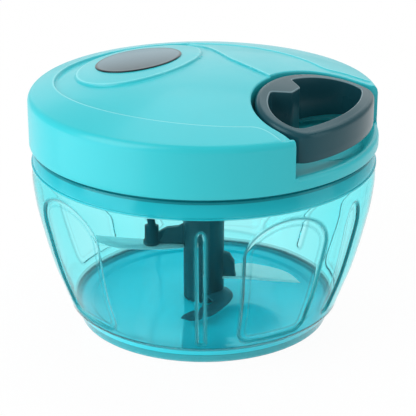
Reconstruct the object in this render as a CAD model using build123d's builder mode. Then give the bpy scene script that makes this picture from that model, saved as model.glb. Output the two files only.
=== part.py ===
from build123d import *

import os
from math import cos, radians, sin, sqrt

os.makedirs("parts", exist_ok=True)

# Mini food chopper, millimetres. The origin is the middle of the foot, +Z is up,
# and the pull handle draws out along +X.

# Fits
run_gap = 0.05        # radial clearance of a shaft that turns in its bore
free_gap = 0.3        # clearance between neighbours that pass each other
overrun = 2.0         # how far a cut runs past the material
weld = 0.8            # how far a rib or lug reaches into the wall that carries it

# Lid's drum, the widest piece: the bowl's radii and the lid's plan follow from it
lid_r = 62.5

# Bowl
bowl_h = 66.2         # foot to the top of the rim
belly_inset = 0.7     # drum to the bowl's widest
belly_taper = 12.0    # from there in to where the wall meets the ledge over the foot
ledge_z = 7.4
bowl_wall = 2.0
rim_inset = 1.1       # drum to the rim band
rim_band_h = 6.5
lip_reach = 0.6       # bead under the rim band
lip_h = 0.8
ledge_w = 2.2
foot_taper = 1.6
foot_h = 5.8
foot_w = 3.6
floor_t = 2.6
floor_gap = 1.6       # space under the floor
floor_inset = 5.0     # foot to the flat of the floor
floor_step_h = 0.8
floor_step_w = 1.4
bowl_wall_shares = [
    (0, 0), (0.152, 0.242), (0.285, 0.45), (0.436, 0.633),
    (0.588, 0.79), (0.74, 0.925), (0.892, 1), (1, 0.99),
]

# Grip recesses in the bowl's wall
grip_depth = 0.8
arch_w = 31.6
arch_foot_w = 25.2
arch_bottom_z = 9.4
arch_spring_z = 45.0
arch_top_z = 57.0
arch_turns = [-112, -33, 35, 105, 177]
rib_w = 2.4
rib_bottom_z = 9.4
rib_spring_z = 52.5
rib_top_z = 55.3
rib_turns = [-62, 70, -145]
flute_w = 9.0
flute_foot_w = 5.0
flute_bottom_z = 11.0
flute_spring_z = 46.0
flute_top_z = 55.0
flute_turns = [-4, 141]

# Bayonet between bowl and lid
bayonet_count = 4
ramp_turn = 18        # where a ramp starts, degrees
ramp_span = 32
ramp_t = 1.8
ramp_reach = 1.4      # how far a ramp stands into the bowl
ramp_drop = 1.4       # rim top to ramp top
lug_turn = 54
lug_span = 20
lug_t = 1.6
lug_reach = 1.3

# Rotor pin
pin_r = 2.0
pin_h = 12.6          # above the bowl's floor
pin_boss_r = 5.0
pin_boss_h = 1.0
pin_seat = 2.9        # how deep the pin sits in the floor

# Seal and lid base
seal_t = 0.8
seal_lap = 1.4        # how far the seal reaches in from the rim's inner edge
seal_inset = 0.8      # rim's outer face to the seal's
plate_t = 2.0
skirt_gap = 1.8       # rim to the skirt
skirt_wall = 2.0
skirt_h = 6.5

# Lid cover
lid_rise = 27.4       # underside of the base plate to the top of the dome
dome_sag = 9.5        # fall of the dome from its middle to the drum's radius
shoulder_r = 3.0
drum_wall = 2.0
dome_wall = 2.6
edge_lift = 0.2       # the drum's lower edge above the base plate's underside
edge_round = 0.4

# Plan of the lid's top, as shares of the drum's radius
pocket_cx_share = 0.752
pocket_b_share = 0.4864
dish_cx_share = 0.72
dish_r_share = 0.24
panel_a_share = 0.856
panel_b_share = 0.76
pad_cx_share = -0.4272
pad_a_share = 0.3296
pad_b_share = 0.448
badge_cx_share = -0.432
badge_a_share = 0.2336
badge_b_share = 0.2752

# Handle pocket in the lid: half an ellipse that flares out to the drum
nose_gap = 4.2        # spool to the pocket's nose
pocket_floor_h = 4.6  # above the drum's lower edge
pocket_wall = 2.0
flare_in = 3.5        # the flare starts this far inside the ellipse's middle
flare_mid_x = 4.8
flare_mid_y = 1.3
flare_end_x = 13.0
flare_end_y = 6.2
flare_past = 8.0
dish_depth = 0.7

# Steps in the dome: a sunk panel, a leaf left standing at its back, and the badge's pad
panel_depth = 1.2
panel_margin = 4.3
leaf_depth = 0.5
leaf_shares = [
    (-0.80, 0.80), (-0.62, 0.765), (-0.48, 0.72), (-0.36, 0.665), (-0.24, 0.58), (-0.10, 0.445),
    (0.04, 0.31), (0.15, 0.24), (0.33, 0.15), (0.50, 0.08),
]
pad_h = 1.0
badge_t = 1.6
badge_proud = 0.5
badge_gap = 0.15
badge_round = 0.4

# Handle
handle_gap = 1.3
handle_lift = 2.6     # pocket floor to the handle's underside
handle_inset = 2.1    # drum to the handle's outer face
handle_drop = 0.8     # top of the dome to the handle's crown, carried to the axis
handle_sag = 9.3
handle_corner_share = 0.25
handle_edge_r = 2.0
hole_nose_w = 4.9     # handle's ring at its nose
hole_side_w = 3.5
hole_wall = 4.6
hole_corner_share = 0.21
hole_edge_r = 0.8
tab_reach = 11.5      # from the handle's nose into the finger hole
tab_root_w = 21.0     # at the middle of the ring's width
tab_tip_w = 7.0
tab_drop = 4.1        # top of the dome to the tab's top
tab_round = 1.5
knot_r = 2.2
knot_gap = 0.3
knot_seat = 4.4

# Cord and eyelet
cord_r = 1.0
cord_gap = 0.25
eyelet_wall = 1.15
eyelet_flange_r = 3.4
eyelet_flange_t = 0.6
eyelet_sink = 0.4     # flange let into the pocket's wall
eyelet_flange_gap = 0.1
eyelet_tail = 1.3     # behind the pocket's wall
eyelet_flare = 0.5
cord_bend_r = 2.6
cord_bend_back = 0.5  # from the eyelet's tail to the bend's corner

# Drive stack between base plate and dome
cup_gap = 0.7
cup_floor_t = 1.4
cup_r = 18.6
cup_wall = 1.8
cup_depth = 3.2
cup_hub_h = 1.8
cup_hub_r = 5.0
tooth_count = 12
tooth_reach = 1.4
tooth_turn = 38
tooth_span = 15
spool_gap = 0.5
spool_floor_t = 1.6
spool_flange_r = 19.4
spool_flange_t = 1.4
spool_flange_w = 4.2   # flange past the drum
spool_drum_wall = 1.8
spool_hub_r = 5.0
spool_hub_h = 1.5
groove_h = 6.6
winding_h = 3.8
winding_lift = 0.2
spring_cover_t = 0.8
spring_cover_lap = 1.2
boss_gap = 0.6
boss_r = 5.5
axle_r = 3.0
axle_seat = 3.4
arbor_wall = 1.85
spring_half_turns = 12
spring_t = 0.4
spring_room = 0.9     # outermost turn to the spool
spring_h = 5.6

# Clutch pawls
pawl_pivot_r = 10.0
pawl_pin_r = 1.2
pawl_eye_r = 2.4
pawl_t = 2.2
pawl_tip_x = 1.24     # from the pivot
pawl_tip_y = 9.0
pawl_tip_r = 0.7

# Coupling to the rotor
drive_tube_r = 8.5
drive_tube_l = 8.8
socket_r = 6.5
socket_depth = 3.6
dog_core_r = 3.5
dog_gap = 0.3
dog_rise = 3.8
dog_span = 50
screw_room_r = 6.3
washer_r = 5.5
washer_t = 0.7
axle_screw_r = 1.25
axle_screw_l = 7.0
pan_head_r = 2.75
pan_head_t = 1.2
pan_round = 0.5
bush_wall = 1.85
bush_flange_w = 1.4
bush_flange_t = 0.4
bush_drop = 1.4       # below the base plate's underside
bush_seat_wall = 1.95
column_gap = 0.5      # hub column's top to the drive tube

# Lid screws
screw_inset = 12.5    # drum to the screws
screw_turns = [60, 140, 220, 300]
screw_r = 1.25
screw_l = 9.0
screw_head_r = 2.7
screw_cone_h = 1.45
screw_boss_r = 3.4
cross_w = 0.7
cross_l = 3.2
cross_depth = 0.7
screw_gap = 0.1       # screw to its hole in the base plate
pilot_past = 1.0      # pilot hole past the screw's tip

# Rotor
hub_r = 7.5
hub_gap = 0.4         # bowl floor to the hub
hub_round = 0.5
blade_t = 0.9
blade_root_r = 3.2
blade_root_w = 4.0
high_rise = 20.4     # blade heights over the bowl's floor
high_l = 43.4
high_w = 8.7
middle_rise = 8.4
middle_l = 36.2
middle_w = 13.6
low_rise = 3.4
low_l = 28.6
low_w = 12.8
blade_turns = [198, 18, -78]
high_back_shares = [(0.27, -0.42), (0.36, -0.17), (0.50, 0), (0.75, 0.03), (1, 0)]
high_front_shares = [(0.14, 0.36), (0.35, 0.75), (0.66, 1), (0.80, 0.84), (0.91, 0.52), (1, 0)]
middle_back_shares = [(0.18, -0.12), (0.33, -0.05), (0.78, -0.02), (1, 0)]
middle_front_shares = [(0.10, 0.5), (0.34, 0.99), (0.57, 0.93), (0.74, 0.77), (0.88, 0.48), (1, 0)]
low_back_shares = [(0.22, 0.20), (0.42, 0.56), (0.60, 0.42), (0.78, 0.16), (0.95, -0.02)]
low_front_shares = [
    (-0.10, 0.5), (0.02, 0.86), (0.25, 1), (0.65, 0.86), (0.87, 0.62), (0.98, 0.30), (0.95, -0.02),
]
web_t = 2.4
peg_x = 19.0
peg_y = 3.2
peg_base_r = 3.1
peg_base_h = 1.2
peg_r = 2.6
peg_h = 5.4
peg_neck_r = 1.5
peg_neck_h = 4.5
web_turns = [206, 22]
high_web_l = 17.0
high_web_h = 11.0
high_web_shares = [(0.35, 1), (0.55, 0.60), (0.80, 0.52), (1, 0.34), (1, 0), (0.35, 0)]
middle_web_l = 12.0
middle_web_h = 9.6
middle_web_shares = [(0.5, 1), (0.80, 0.88), (0.95, 0.55), (0.97, 0.12), (1, 0), (0.5, 0)]



def dome_z(r, depth):
    """Height at a radius of the shell that lies a depth under the dome."""
    return dome_top_z - dome_sphere_r + sqrt((dome_sphere_r - depth) ** 2 - r**2)


# Levels and radii worked out from the sizes above
belly_r = lid_r - belly_inset
ledge_r = belly_r - belly_taper
rim_r = lid_r - rim_inset
lip_r = rim_r + lip_reach
foot_top_r = ledge_r - ledge_w
foot_r = foot_top_r - foot_taper
floor_r = foot_r - floor_inset
screw_ring_r = lid_r - screw_inset
floor_z = floor_gap + floor_t
band_z = bowl_h - rim_band_h
rim_inner_r = rim_r - bowl_wall
skirt_r = rim_inner_r - skirt_gap
ramp_z = bowl_h - ramp_drop - ramp_t
plate_z = bowl_h + seal_t
plate_top_z = plate_z + plate_t
edge_z = plate_z + edge_lift
dome_top_z = plate_z + lid_rise
dome_sphere_r = (lid_r**2 + dome_sag**2) / (2 * dome_sag)
pocket_floor_z = edge_z + pocket_floor_h
nose_x = spool_flange_r + nose_gap
pocket_cx = lid_r * pocket_cx_share
pocket_a = pocket_cx - nose_x
pocket_b = lid_r * pocket_b_share
dish_cx = lid_r * dish_cx_share
dish_r = lid_r * dish_r_share
panel_a = lid_r * panel_a_share
panel_b = lid_r * panel_b_share
pad_cx = lid_r * pad_cx_share
pad_a = lid_r * pad_a_share
pad_b = lid_r * pad_b_share
badge_cx = lid_r * badge_cx_share
badge_a = lid_r * badge_a_share
badge_b = lid_r * badge_b_share
handle_a = pocket_a - handle_gap
handle_b = pocket_b - handle_gap
hole_a = handle_a - hole_nose_w
hole_b = handle_b - hole_side_w
lug_z = ramp_z - free_gap - lug_t
cup_z = plate_top_z + cup_gap
cup_top_z = cup_z + cup_floor_t + cup_depth
spool_z = cup_top_z + spool_gap
groove_z = spool_z + spool_floor_t
groove_top_z = groove_z + groove_h
spool_top_z = groove_top_z + spool_flange_t
spool_drum_r = spool_flange_r - spool_flange_w
cavity_r = spool_drum_r - spool_drum_wall
boss_z = spool_top_z + boss_gap
cord_z = groove_top_z - free_gap - cord_r
wind_r = spool_drum_r + free_gap + cord_r
handle_z = pocket_floor_z + handle_lift
handle_r = lid_r - handle_inset
tube_z = cup_z - drive_tube_l
axle_z = edge_z
web_z = axle_z + free_gap
axle_bore_r = axle_r + run_gap
column_top_z = tube_z - column_gap
bush_bore_r = drive_tube_r + run_gap
bush_r = bush_bore_r + bush_wall
arbor_r = axle_bore_r + arbor_wall
spring_pitch = 2 * (cavity_r - spring_room - spring_t - arbor_r) / spring_half_turns
cord_bore_r = cord_r + cord_gap
eyelet_r = cord_bore_r + eyelet_wall
eyelet_x = nose_x - pocket_wall - eyelet_tail
hub_z = floor_z + hub_gap
high_z = dome_top_z + overrun
low_z = dome_z(lid_r, 0) - dome_wall - overrun
handle_nose_x = nose_x + handle_gap
tab_x = handle_nose_x + tab_reach
knot_x = tab_x - knot_seat
split_x = nose_x - eyelet_sink + eyelet_flange_t
pawl_z = spool_z - free_gap - pawl_t
cup_inner_r = cup_r - cup_wall
badge_seat = panel_depth - pad_h + badge_t - badge_proud


def below_dome(depth, reach, base_z):
    """Solid of revolution between a level and the shell a depth under the dome."""
    rim_z = dome_z(reach, depth)
    with BuildPart() as core:
        with BuildSketch(Plane.XZ):
            with BuildLine():
                Polyline((0, dome_z(0, depth)), (0, base_z), (reach, base_z), (reach, rim_z))
                ThreePointArc((reach, rim_z), (reach / 2, dome_z(reach / 2, depth)), (0, dome_z(0, depth)))
            make_face()
        revolve(axis=Axis.Z)
    return core.part


def over_dome(face, depth):
    """All that stands over a plan face, down to the shell a depth under the dome."""
    with BuildPart() as cut:
        with BuildSketch(Plane.XY.offset(low_z)):
            add(face)
        extrude(amount=high_z - low_z)
        add(below_dome(depth, lid_r + overrun, low_z - overrun), mode=Mode.SUBTRACT)
    return cut.part


def wall_points(inset):
    """Points up the bowl's wall, moved inwards."""
    return [
        (ledge_r + (belly_r - ledge_r) * across - inset, ledge_z + (band_z - ledge_z) * up)
        for up, across in bowl_wall_shares
    ]


def ring_sector(inner_r, outer_r, turn, span):
    """Flat sector of a ring."""
    with BuildSketch() as face:
        with BuildLine():
            near = CenterArc((0, 0), inner_r, turn, span)
            far = CenterArc((0, 0), outer_r, turn, span)
            Line(near @ 0, far @ 0)
            Line(near @ 1, far @ 1)
        make_face()
    return face.sketch


def radial_plane(turn):
    """Upright plane through the axis that faces outwards, its own Y along +Z."""
    out = (cos(radians(turn)), sin(radians(turn)), 0)
    return Plane(origin=(0, 0, 0), x_dir=(-out[1], out[0], 0), z_dir=out)


def web_plane(turn, thickness):
    """Upright plane along a radius, half a web's thickness to one side of the axis."""
    out = (cos(radians(turn)), sin(radians(turn)), 0)
    return Plane(origin=(0, 0, 0), x_dir=out, z_dir=(out[1], -out[0], 0)).offset(-thickness / 2)


def turned_plane(turn, z):
    """Level plane at a height, its own X at an angle."""
    return Plane(origin=(0, 0, z), x_dir=(cos(radians(turn)), sin(radians(turn)), 0), z_dir=(0, 0, 1))


def pocket_face(grow):
    """Plan of the handle's pocket, grown outwards."""
    start_x = pocket_cx - flare_in
    start_y = (pocket_b + grow) * sqrt(1 - (flare_in / (pocket_a + grow)) ** 2)
    end_x = start_x + flare_end_x
    end_y = start_y + flare_end_y
    with BuildSketch() as face:
        with BuildLine():
            flare_mid = (start_x + flare_mid_x, start_y + flare_mid_y)
            ThreePointArc((start_x, start_y), flare_mid, (end_x, end_y))
            Line((end_x, end_y), (end_x + flare_past, end_y + flare_past))
            Line((end_x + flare_past, end_y + flare_past), (end_x + flare_past, 0))
            Line((start_x, 0), (start_x, start_y))
            Line((start_x, 0), (end_x + flare_past, 0))
        make_face()
        mirror(about=Plane.XZ)
        with Locations((pocket_cx, 0)):
            Ellipse(pocket_a + grow, pocket_b + grow)
    return face.sketch


def oval_face(centre_x, half_x, half_y):
    """Plan ellipse on the lid's middle line."""
    with BuildSketch() as face:
        with Locations((centre_x, 0)):
            Ellipse(half_x, half_y)
    return face.sketch


def panel_face():
    """Plan of the sunk panel with its two arms along the pocket."""
    with BuildSketch() as face:
        Ellipse(panel_a, panel_b)
        add(pocket_face(panel_margin))
    return face.sketch


def leaf_face():
    """Plan of the leaf that stands between the panel's back edge and its curling line."""
    with BuildSketch() as face:
        with BuildLine():
            curl = Spline([(panel_a * x, panel_b * y) for x, y in leaf_shares])
            Polyline(curl @ 1, (lid_r, (curl @ 1).Y), (lid_r, lid_r), ((curl @ 0).X, lid_r), curl @ 0)
        make_face()
        add(panel_face(), mode=Mode.INTERSECT)
    return face.sketch


# Bowl with its foot ring, floor, rim band and bayonet ramps
with BuildPart() as grip_tools:
    for turn in arch_turns:
        with BuildSketch(radial_plane(turn).offset(foot_r / 2)):
            with BuildLine():
                arch_side = Polyline(
                    (arch_w / 2, arch_spring_z), (arch_foot_w / 2, arch_bottom_z),
                    (-arch_foot_w / 2, arch_bottom_z), (-arch_w / 2, arch_spring_z),
                )
                ThreePointArc(arch_side @ 1, (0, arch_top_z), arch_side @ 0)
            make_face()
        extrude(amount=lid_r)
    for turn in rib_turns:
        with BuildSketch(radial_plane(turn).offset(foot_r / 2)):
            with BuildLine():
                Polyline(
                    (0, rib_top_z), (rib_w / 2, rib_spring_z), (rib_w / 2, rib_bottom_z),
                    (-rib_w / 2, rib_bottom_z), (-rib_w / 2, rib_spring_z), (0, rib_top_z),
                )
            make_face()
        extrude(amount=lid_r)
    for turn in flute_turns:
        with BuildSketch(radial_plane(turn).offset(foot_r / 2)):
            with BuildLine():
                Polyline(
                    (0, flute_top_z), (flute_w / 2, flute_spring_z), (flute_foot_w / 2, flute_bottom_z),
                    (-flute_foot_w / 2, flute_bottom_z), (-flute_w / 2, flute_spring_z), (0, flute_top_z),
                )
            make_face()
        extrude(amount=lid_r)

with BuildPart() as grip_cut:
    with BuildSketch(Plane.XZ):
        with BuildLine():
            sunk = Spline(wall_points(grip_depth))
            far_x = lid_r + overrun
            Polyline(sunk @ 1, (far_x, (sunk @ 1).Y), (far_x, (sunk @ 0).Y), sunk @ 0)
        make_face()
    revolve(axis=Axis.Z)
    add(grip_tools.part, mode=Mode.INTERSECT)

with BuildPart() as bowl:
    with BuildSketch(Plane.XZ):
        with BuildLine():
            outside = Spline(wall_points(0))
            inside = Spline(wall_points(bowl_wall))
            Polyline(
                outside @ 1, (lip_r, band_z), (lip_r, band_z + lip_h), (rim_r, band_z + lip_h),
                (rim_r, bowl_h), (rim_inner_r, bowl_h), inside @ 1,
            )
            step_x = floor_r + floor_step_w
            Line(inside @ 0, (step_x + floor_step_w, floor_z + floor_step_h))
            Polyline(
                (step_x + floor_step_w, floor_z + floor_step_h), (step_x, floor_z + floor_step_h),
                (floor_r, floor_z), (pin_r, floor_z), (pin_r, floor_z - pin_seat), (0, floor_z - pin_seat),
                (0, floor_gap - pin_boss_h), (pin_boss_r, floor_gap - pin_boss_h), (pin_boss_r, floor_gap),
                (foot_r - foot_w, floor_gap), (foot_r - foot_w, 0), (foot_r, 0), (foot_top_r, foot_h),
                (ledge_r, ledge_z - lip_h), outside @ 0,
            )
        make_face()
    revolve(axis=Axis.Z)
    with BuildSketch(Plane.XY.offset(ramp_z)):
        with PolarLocations(0, bayonet_count):
            add(ring_sector(rim_inner_r - ramp_reach, rim_inner_r + weld, ramp_turn, ramp_span))
    extrude(amount=ramp_t)
    add(grip_cut.part, mode=Mode.SUBTRACT)
bowl.part.label = "bowl"
export_step(bowl.part, "parts/bowl.step")

# Steel pin that the rotor turns on
with BuildPart() as pivot_pin:
    with BuildSketch(Plane.XY.offset(floor_z - pin_seat)):
        Circle(pin_r)
    extrude(amount=pin_seat + pin_h)
    chamfer(pivot_pin.edges().sort_by(Axis.Z)[-1], pin_r / 4)
pivot_pin.part.label = "pivot_pin"
export_step(pivot_pin.part, "parts/pivot_pin.step")


def blade_face(length, width, back_shares, front_shares):
    """Plan of a blade that runs along X from its root in the hub, its convex edge on the +Y side."""
    with BuildSketch() as face:
        with BuildLine():
            back = Spline([(length * x, width * y) for x, y in back_shares])
            front = Spline([(length * x, width * y) for x, y in front_shares])
            Polyline(
                back @ 0, (blade_root_r, -blade_root_w / 2), (blade_root_r, blade_root_w / 2), front @ 0
            )
        make_face()
    return face.sketch


# Three blades, from the top down
with BuildPart() as blade_upper:
    with BuildSketch(turned_plane(blade_turns[0], floor_z + high_rise)):
        add(blade_face(high_l, high_w, high_back_shares, high_front_shares))
    extrude(amount=blade_t)
blade_upper.part.label = "blade_upper"
export_step(blade_upper.part, "parts/blade_upper.step")

with BuildPart() as blade_middle:
    with BuildSketch(turned_plane(blade_turns[1], floor_z + middle_rise)):
        add(blade_face(middle_l, middle_w, middle_back_shares, middle_front_shares))
    extrude(amount=blade_t)
blade_middle.part.label = "blade_middle"
export_step(blade_middle.part, "parts/blade_middle.step")

with BuildPart() as blade_lower:
    with BuildSketch(turned_plane(blade_turns[2], floor_z + low_rise)):
        add(blade_face(low_l, low_w, low_back_shares, low_front_shares))
    extrude(amount=blade_t)
blade_lower.part.label = "blade_lower"
export_step(blade_lower.part, "parts/blade_lower.step")

# Hub column with the blade holders, the stepped peg and the dogs that the lid drives
with BuildPart() as blade_shaft:
    with BuildSketch(Plane.XY.offset(hub_z)):
        Circle(hub_r)
    extrude(amount=column_top_z - hub_z)
    fillet(blade_shaft.edges().filter_by(GeomType.CIRCLE), hub_round)
    with BuildSketch(Plane.XY.offset(column_top_z)):
        Circle(dog_core_r)
        with PolarLocations(0, 2):
            add(ring_sector(dog_core_r / 2, socket_r - dog_gap, -dog_span / 2, dog_span))
    extrude(amount=dog_rise)
    with BuildSketch(web_plane(web_turns[0], web_t)):
        with BuildLine():
            Polyline(
                [
                    (high_web_l * x, floor_z + high_rise + blade_t + high_web_h * y)
                    for x, y in high_web_shares
                ],
                close=True,
            )
        make_face()
    extrude(amount=web_t)
    with BuildSketch(web_plane(web_turns[1], web_t)):
        with BuildLine():
            Polyline(
                [
                    (middle_web_l * x, floor_z + middle_rise + blade_t + middle_web_h * y)
                    for x, y in middle_web_shares
                ],
                close=True,
            )
        make_face()
    extrude(amount=web_t)
    with BuildSketch(turned_plane(blade_turns[0], floor_z + high_rise + blade_t)):
        with Locations((peg_x, peg_y)):
            Circle(peg_base_r)
    extrude(amount=peg_base_h)
    with BuildSketch(turned_plane(blade_turns[0], floor_z + high_rise + blade_t)):
        with Locations((peg_x, peg_y)):
            Circle(peg_r)
    extrude(amount=peg_base_h + peg_h)
    with BuildSketch(turned_plane(blade_turns[0], floor_z + high_rise + blade_t)):
        with Locations((peg_x, peg_y)):
            Circle(peg_neck_r)
    extrude(amount=peg_base_h + peg_h + peg_neck_h)
    with BuildSketch(Plane.XY.offset(hub_z - overrun)):
        Circle(pin_r + run_gap)
    extrude(amount=floor_z + pin_h + run_gap - hub_z + overrun, mode=Mode.SUBTRACT)
    add([blade_upper.part, blade_middle.part, blade_lower.part], mode=Mode.SUBTRACT)
blade_shaft.part.label = "blade_shaft"
export_step(blade_shaft.part, "parts/blade_shaft.step")


def lid_screw(turn, swell):
    """Countersunk screw that points up from the base plate's underside, swollen for its hole."""
    with BuildPart() as screw:
        spot = Plane(
            origin=(screw_ring_r * cos(radians(turn)), screw_ring_r * sin(radians(turn)), plate_z),
            x_dir=(1, 0, 0),
            z_dir=(0, -1, 0),
        )
        with BuildSketch(spot):
            with BuildLine():
                Polyline(
                    (0, 0), (screw_head_r + swell, 0), (screw_r + swell, screw_cone_h),
                    (screw_r + swell, screw_l), (0, screw_l), close=True,
                )
            make_face()
        revolve(axis=Axis(spot.origin, (0, 0, 1)))
    return screw.part


# Base plate with its skirt, bayonet lugs and bush seat
with BuildPart() as lid_base:
    with BuildSketch(Plane.XY.offset(plate_z)):
        Circle(lid_r - drum_wall - free_gap)
    extrude(amount=plate_t)
    with BuildSketch(Plane.XY.offset(plate_z - skirt_h)):
        Circle(skirt_r)
        Circle(skirt_r - skirt_wall, mode=Mode.SUBTRACT)
    extrude(amount=skirt_h)
    with BuildSketch(Plane.XY.offset(lug_z)):
        with PolarLocations(0, bayonet_count):
            add(ring_sector(skirt_r - weld, skirt_r + lug_reach, lug_turn, lug_span))
    extrude(amount=lug_t)
    with BuildSketch(Plane.XY.offset(plate_z - bush_drop)):
        Circle(bush_r + bush_seat_wall)
    extrude(amount=bush_drop)
    with BuildSketch(Plane.XY.offset(plate_z - bush_drop - overrun)):
        Circle(bush_r)
    extrude(amount=bush_drop + plate_t + 2 * overrun, mode=Mode.SUBTRACT)
    add([lid_screw(turn, screw_gap) for turn in screw_turns], mode=Mode.SUBTRACT)
lid_base.part.label = "lid_base"
export_step(lid_base.part, "parts/lid_base.step")

# Seal between the rim and the base plate
with BuildPart() as seal_ring:
    with BuildSketch(Plane.XY.offset(bowl_h)):
        Circle(rim_r - seal_inset)
        Circle(rim_inner_r - seal_lap, mode=Mode.SUBTRACT)
    extrude(amount=seal_t)
seal_ring.part.label = "seal_ring"
export_step(seal_ring.part, "parts/seal_ring.step")

# Lid cover: drum and dome over a hollow, with the handle's pocket let into it
with BuildPart() as lid_hollow:
    add(below_dome(dome_wall, lid_r - drum_wall, edge_z - overrun))
    with BuildSketch(Plane.XY.offset(pocket_floor_z - pocket_wall)):
        add(pocket_face(pocket_wall))
    extrude(amount=high_z - pocket_floor_z, mode=Mode.SUBTRACT)
    with BuildSketch(Plane.XY.offset(boss_z)):
        Circle(boss_r)
    extrude(amount=high_z - boss_z, mode=Mode.SUBTRACT)
    with BuildSketch(Plane.XY.offset(plate_top_z)):
        for turn in screw_turns:
            with PolarLocations(screw_ring_r, 1, turn):
                Circle(screw_boss_r)
    extrude(amount=high_z - plate_top_z, mode=Mode.SUBTRACT)

with BuildPart() as lid_cover:
    add(below_dome(0, lid_r, edge_z))
    drum_edges = lid_cover.edges().filter_by(GeomType.CIRCLE).sort_by(SortBy.LENGTH)[-2:]
    fillet(drum_edges.sort_by(Axis.Z)[-1], shoulder_r)
    fillet(lid_cover.edges().filter_by(GeomType.CIRCLE).group_by(Axis.Z)[0], edge_round)
    add(lid_hollow.part, mode=Mode.SUBTRACT)
    with BuildSketch() as sunk_face:
        add(panel_face())
        add(leaf_face(), mode=Mode.SUBTRACT)
        add(oval_face(pad_cx, pad_a, pad_b), mode=Mode.SUBTRACT)
    add(over_dome(sunk_face.sketch, panel_depth), mode=Mode.SUBTRACT)
    add(over_dome(leaf_face(), leaf_depth), mode=Mode.SUBTRACT)
    add(over_dome(oval_face(pad_cx, pad_a, pad_b), panel_depth - pad_h), mode=Mode.SUBTRACT)
    add(over_dome(oval_face(badge_cx, badge_a, badge_b), badge_seat), mode=Mode.SUBTRACT)
    with BuildSketch(Plane.XY.offset(pocket_floor_z)):
        add(pocket_face(0))
    extrude(amount=high_z - pocket_floor_z, mode=Mode.SUBTRACT)
    with BuildSketch(Plane.XY.offset(pocket_floor_z - dish_depth)):
        with Locations((dish_cx, 0)):
            Circle(dish_r)
    extrude(amount=handle_lift, mode=Mode.SUBTRACT)
    with BuildSketch(Plane.YZ.offset(nose_x - pocket_wall - overrun)):
        with Locations((0, cord_z)):
            Circle(eyelet_r)
    extrude(amount=pocket_wall + 2 * overrun, mode=Mode.SUBTRACT)
    with BuildSketch(Plane.YZ.offset(nose_x - eyelet_sink)):
        with Locations((0, cord_z)):
            Circle(eyelet_flange_r + eyelet_flange_gap)
    extrude(amount=overrun, mode=Mode.SUBTRACT)
    with BuildSketch(Plane.XY.offset(boss_z)):
        Circle(axle_r)
    extrude(amount=axle_seat, mode=Mode.SUBTRACT)
    with BuildSketch(Plane.XY.offset(plate_top_z)):
        for turn in screw_turns:
            with PolarLocations(screw_ring_r, 1, turn):
                Circle(screw_r)
    extrude(amount=screw_l - plate_t + pilot_past, mode=Mode.SUBTRACT)
lid_cover.part.label = "lid_cover"
export_step(lid_cover.part, "parts/lid_cover.step")

# Oval plate let into the pad
with BuildPart() as badge:
    with BuildSketch(Plane.XY.offset(low_z)):
        add(oval_face(badge_cx, badge_a - badge_gap, badge_b - badge_gap))
    extrude(amount=high_z - low_z)
    add(below_dome(panel_depth - pad_h - badge_proud, lid_r, low_z - overrun), mode=Mode.INTERSECT)
    add(below_dome(badge_seat, lid_r, low_z - overrun), mode=Mode.SUBTRACT)
    fillet(badge.faces().sort_by(Axis.Z)[-1].edges(), badge_round)
badge.part.label = "badge"
export_step(badge.part, "parts/badge.step")

# Four countersunk screws that hold the base plate up to the cover
with BuildPart() as lid_screws:
    add([lid_screw(turn, 0) for turn in screw_turns])
    with BuildSketch(Plane.XY.offset(plate_z)):
        for turn in screw_turns:
            with PolarLocations(screw_ring_r, 1, turn):
                Rectangle(cross_l, cross_w)
                Rectangle(cross_w, cross_l)
    extrude(amount=cross_depth, mode=Mode.SUBTRACT)
lid_screws.part.label = "lid_screws"
export_step(lid_screws.part, "parts/lid_screws.step")

# Pull handle: a ring that follows the pocket's outline, with the tab that holds the cord
with BuildPart() as handle_crown:
    with BuildSketch(Plane.XZ):
        with BuildLine():
            crown_z = dome_top_z - handle_drop
            Polyline((0, crown_z), (0, handle_z), (lid_r, handle_z), (lid_r, crown_z - handle_sag))
            ThreePointArc(
                (lid_r, crown_z - handle_sag), (lid_r / 2, crown_z - handle_sag / 4), (0, crown_z)
            )
        make_face()
    revolve(axis=Axis.Z)

with BuildPart() as finger_room:
    with BuildSketch(Plane.XY.offset(handle_z)):
        with Locations((pocket_cx, 0)):
            Ellipse(hole_a, hole_b)
        Circle(handle_r - hole_wall, mode=Mode.INTERSECT)
    extrude(amount=high_z - handle_z)
    fillet(finger_room.edges().filter_by(Axis.Z).sort_by(Axis.X)[-2:], hole_b * hole_corner_share)

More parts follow.
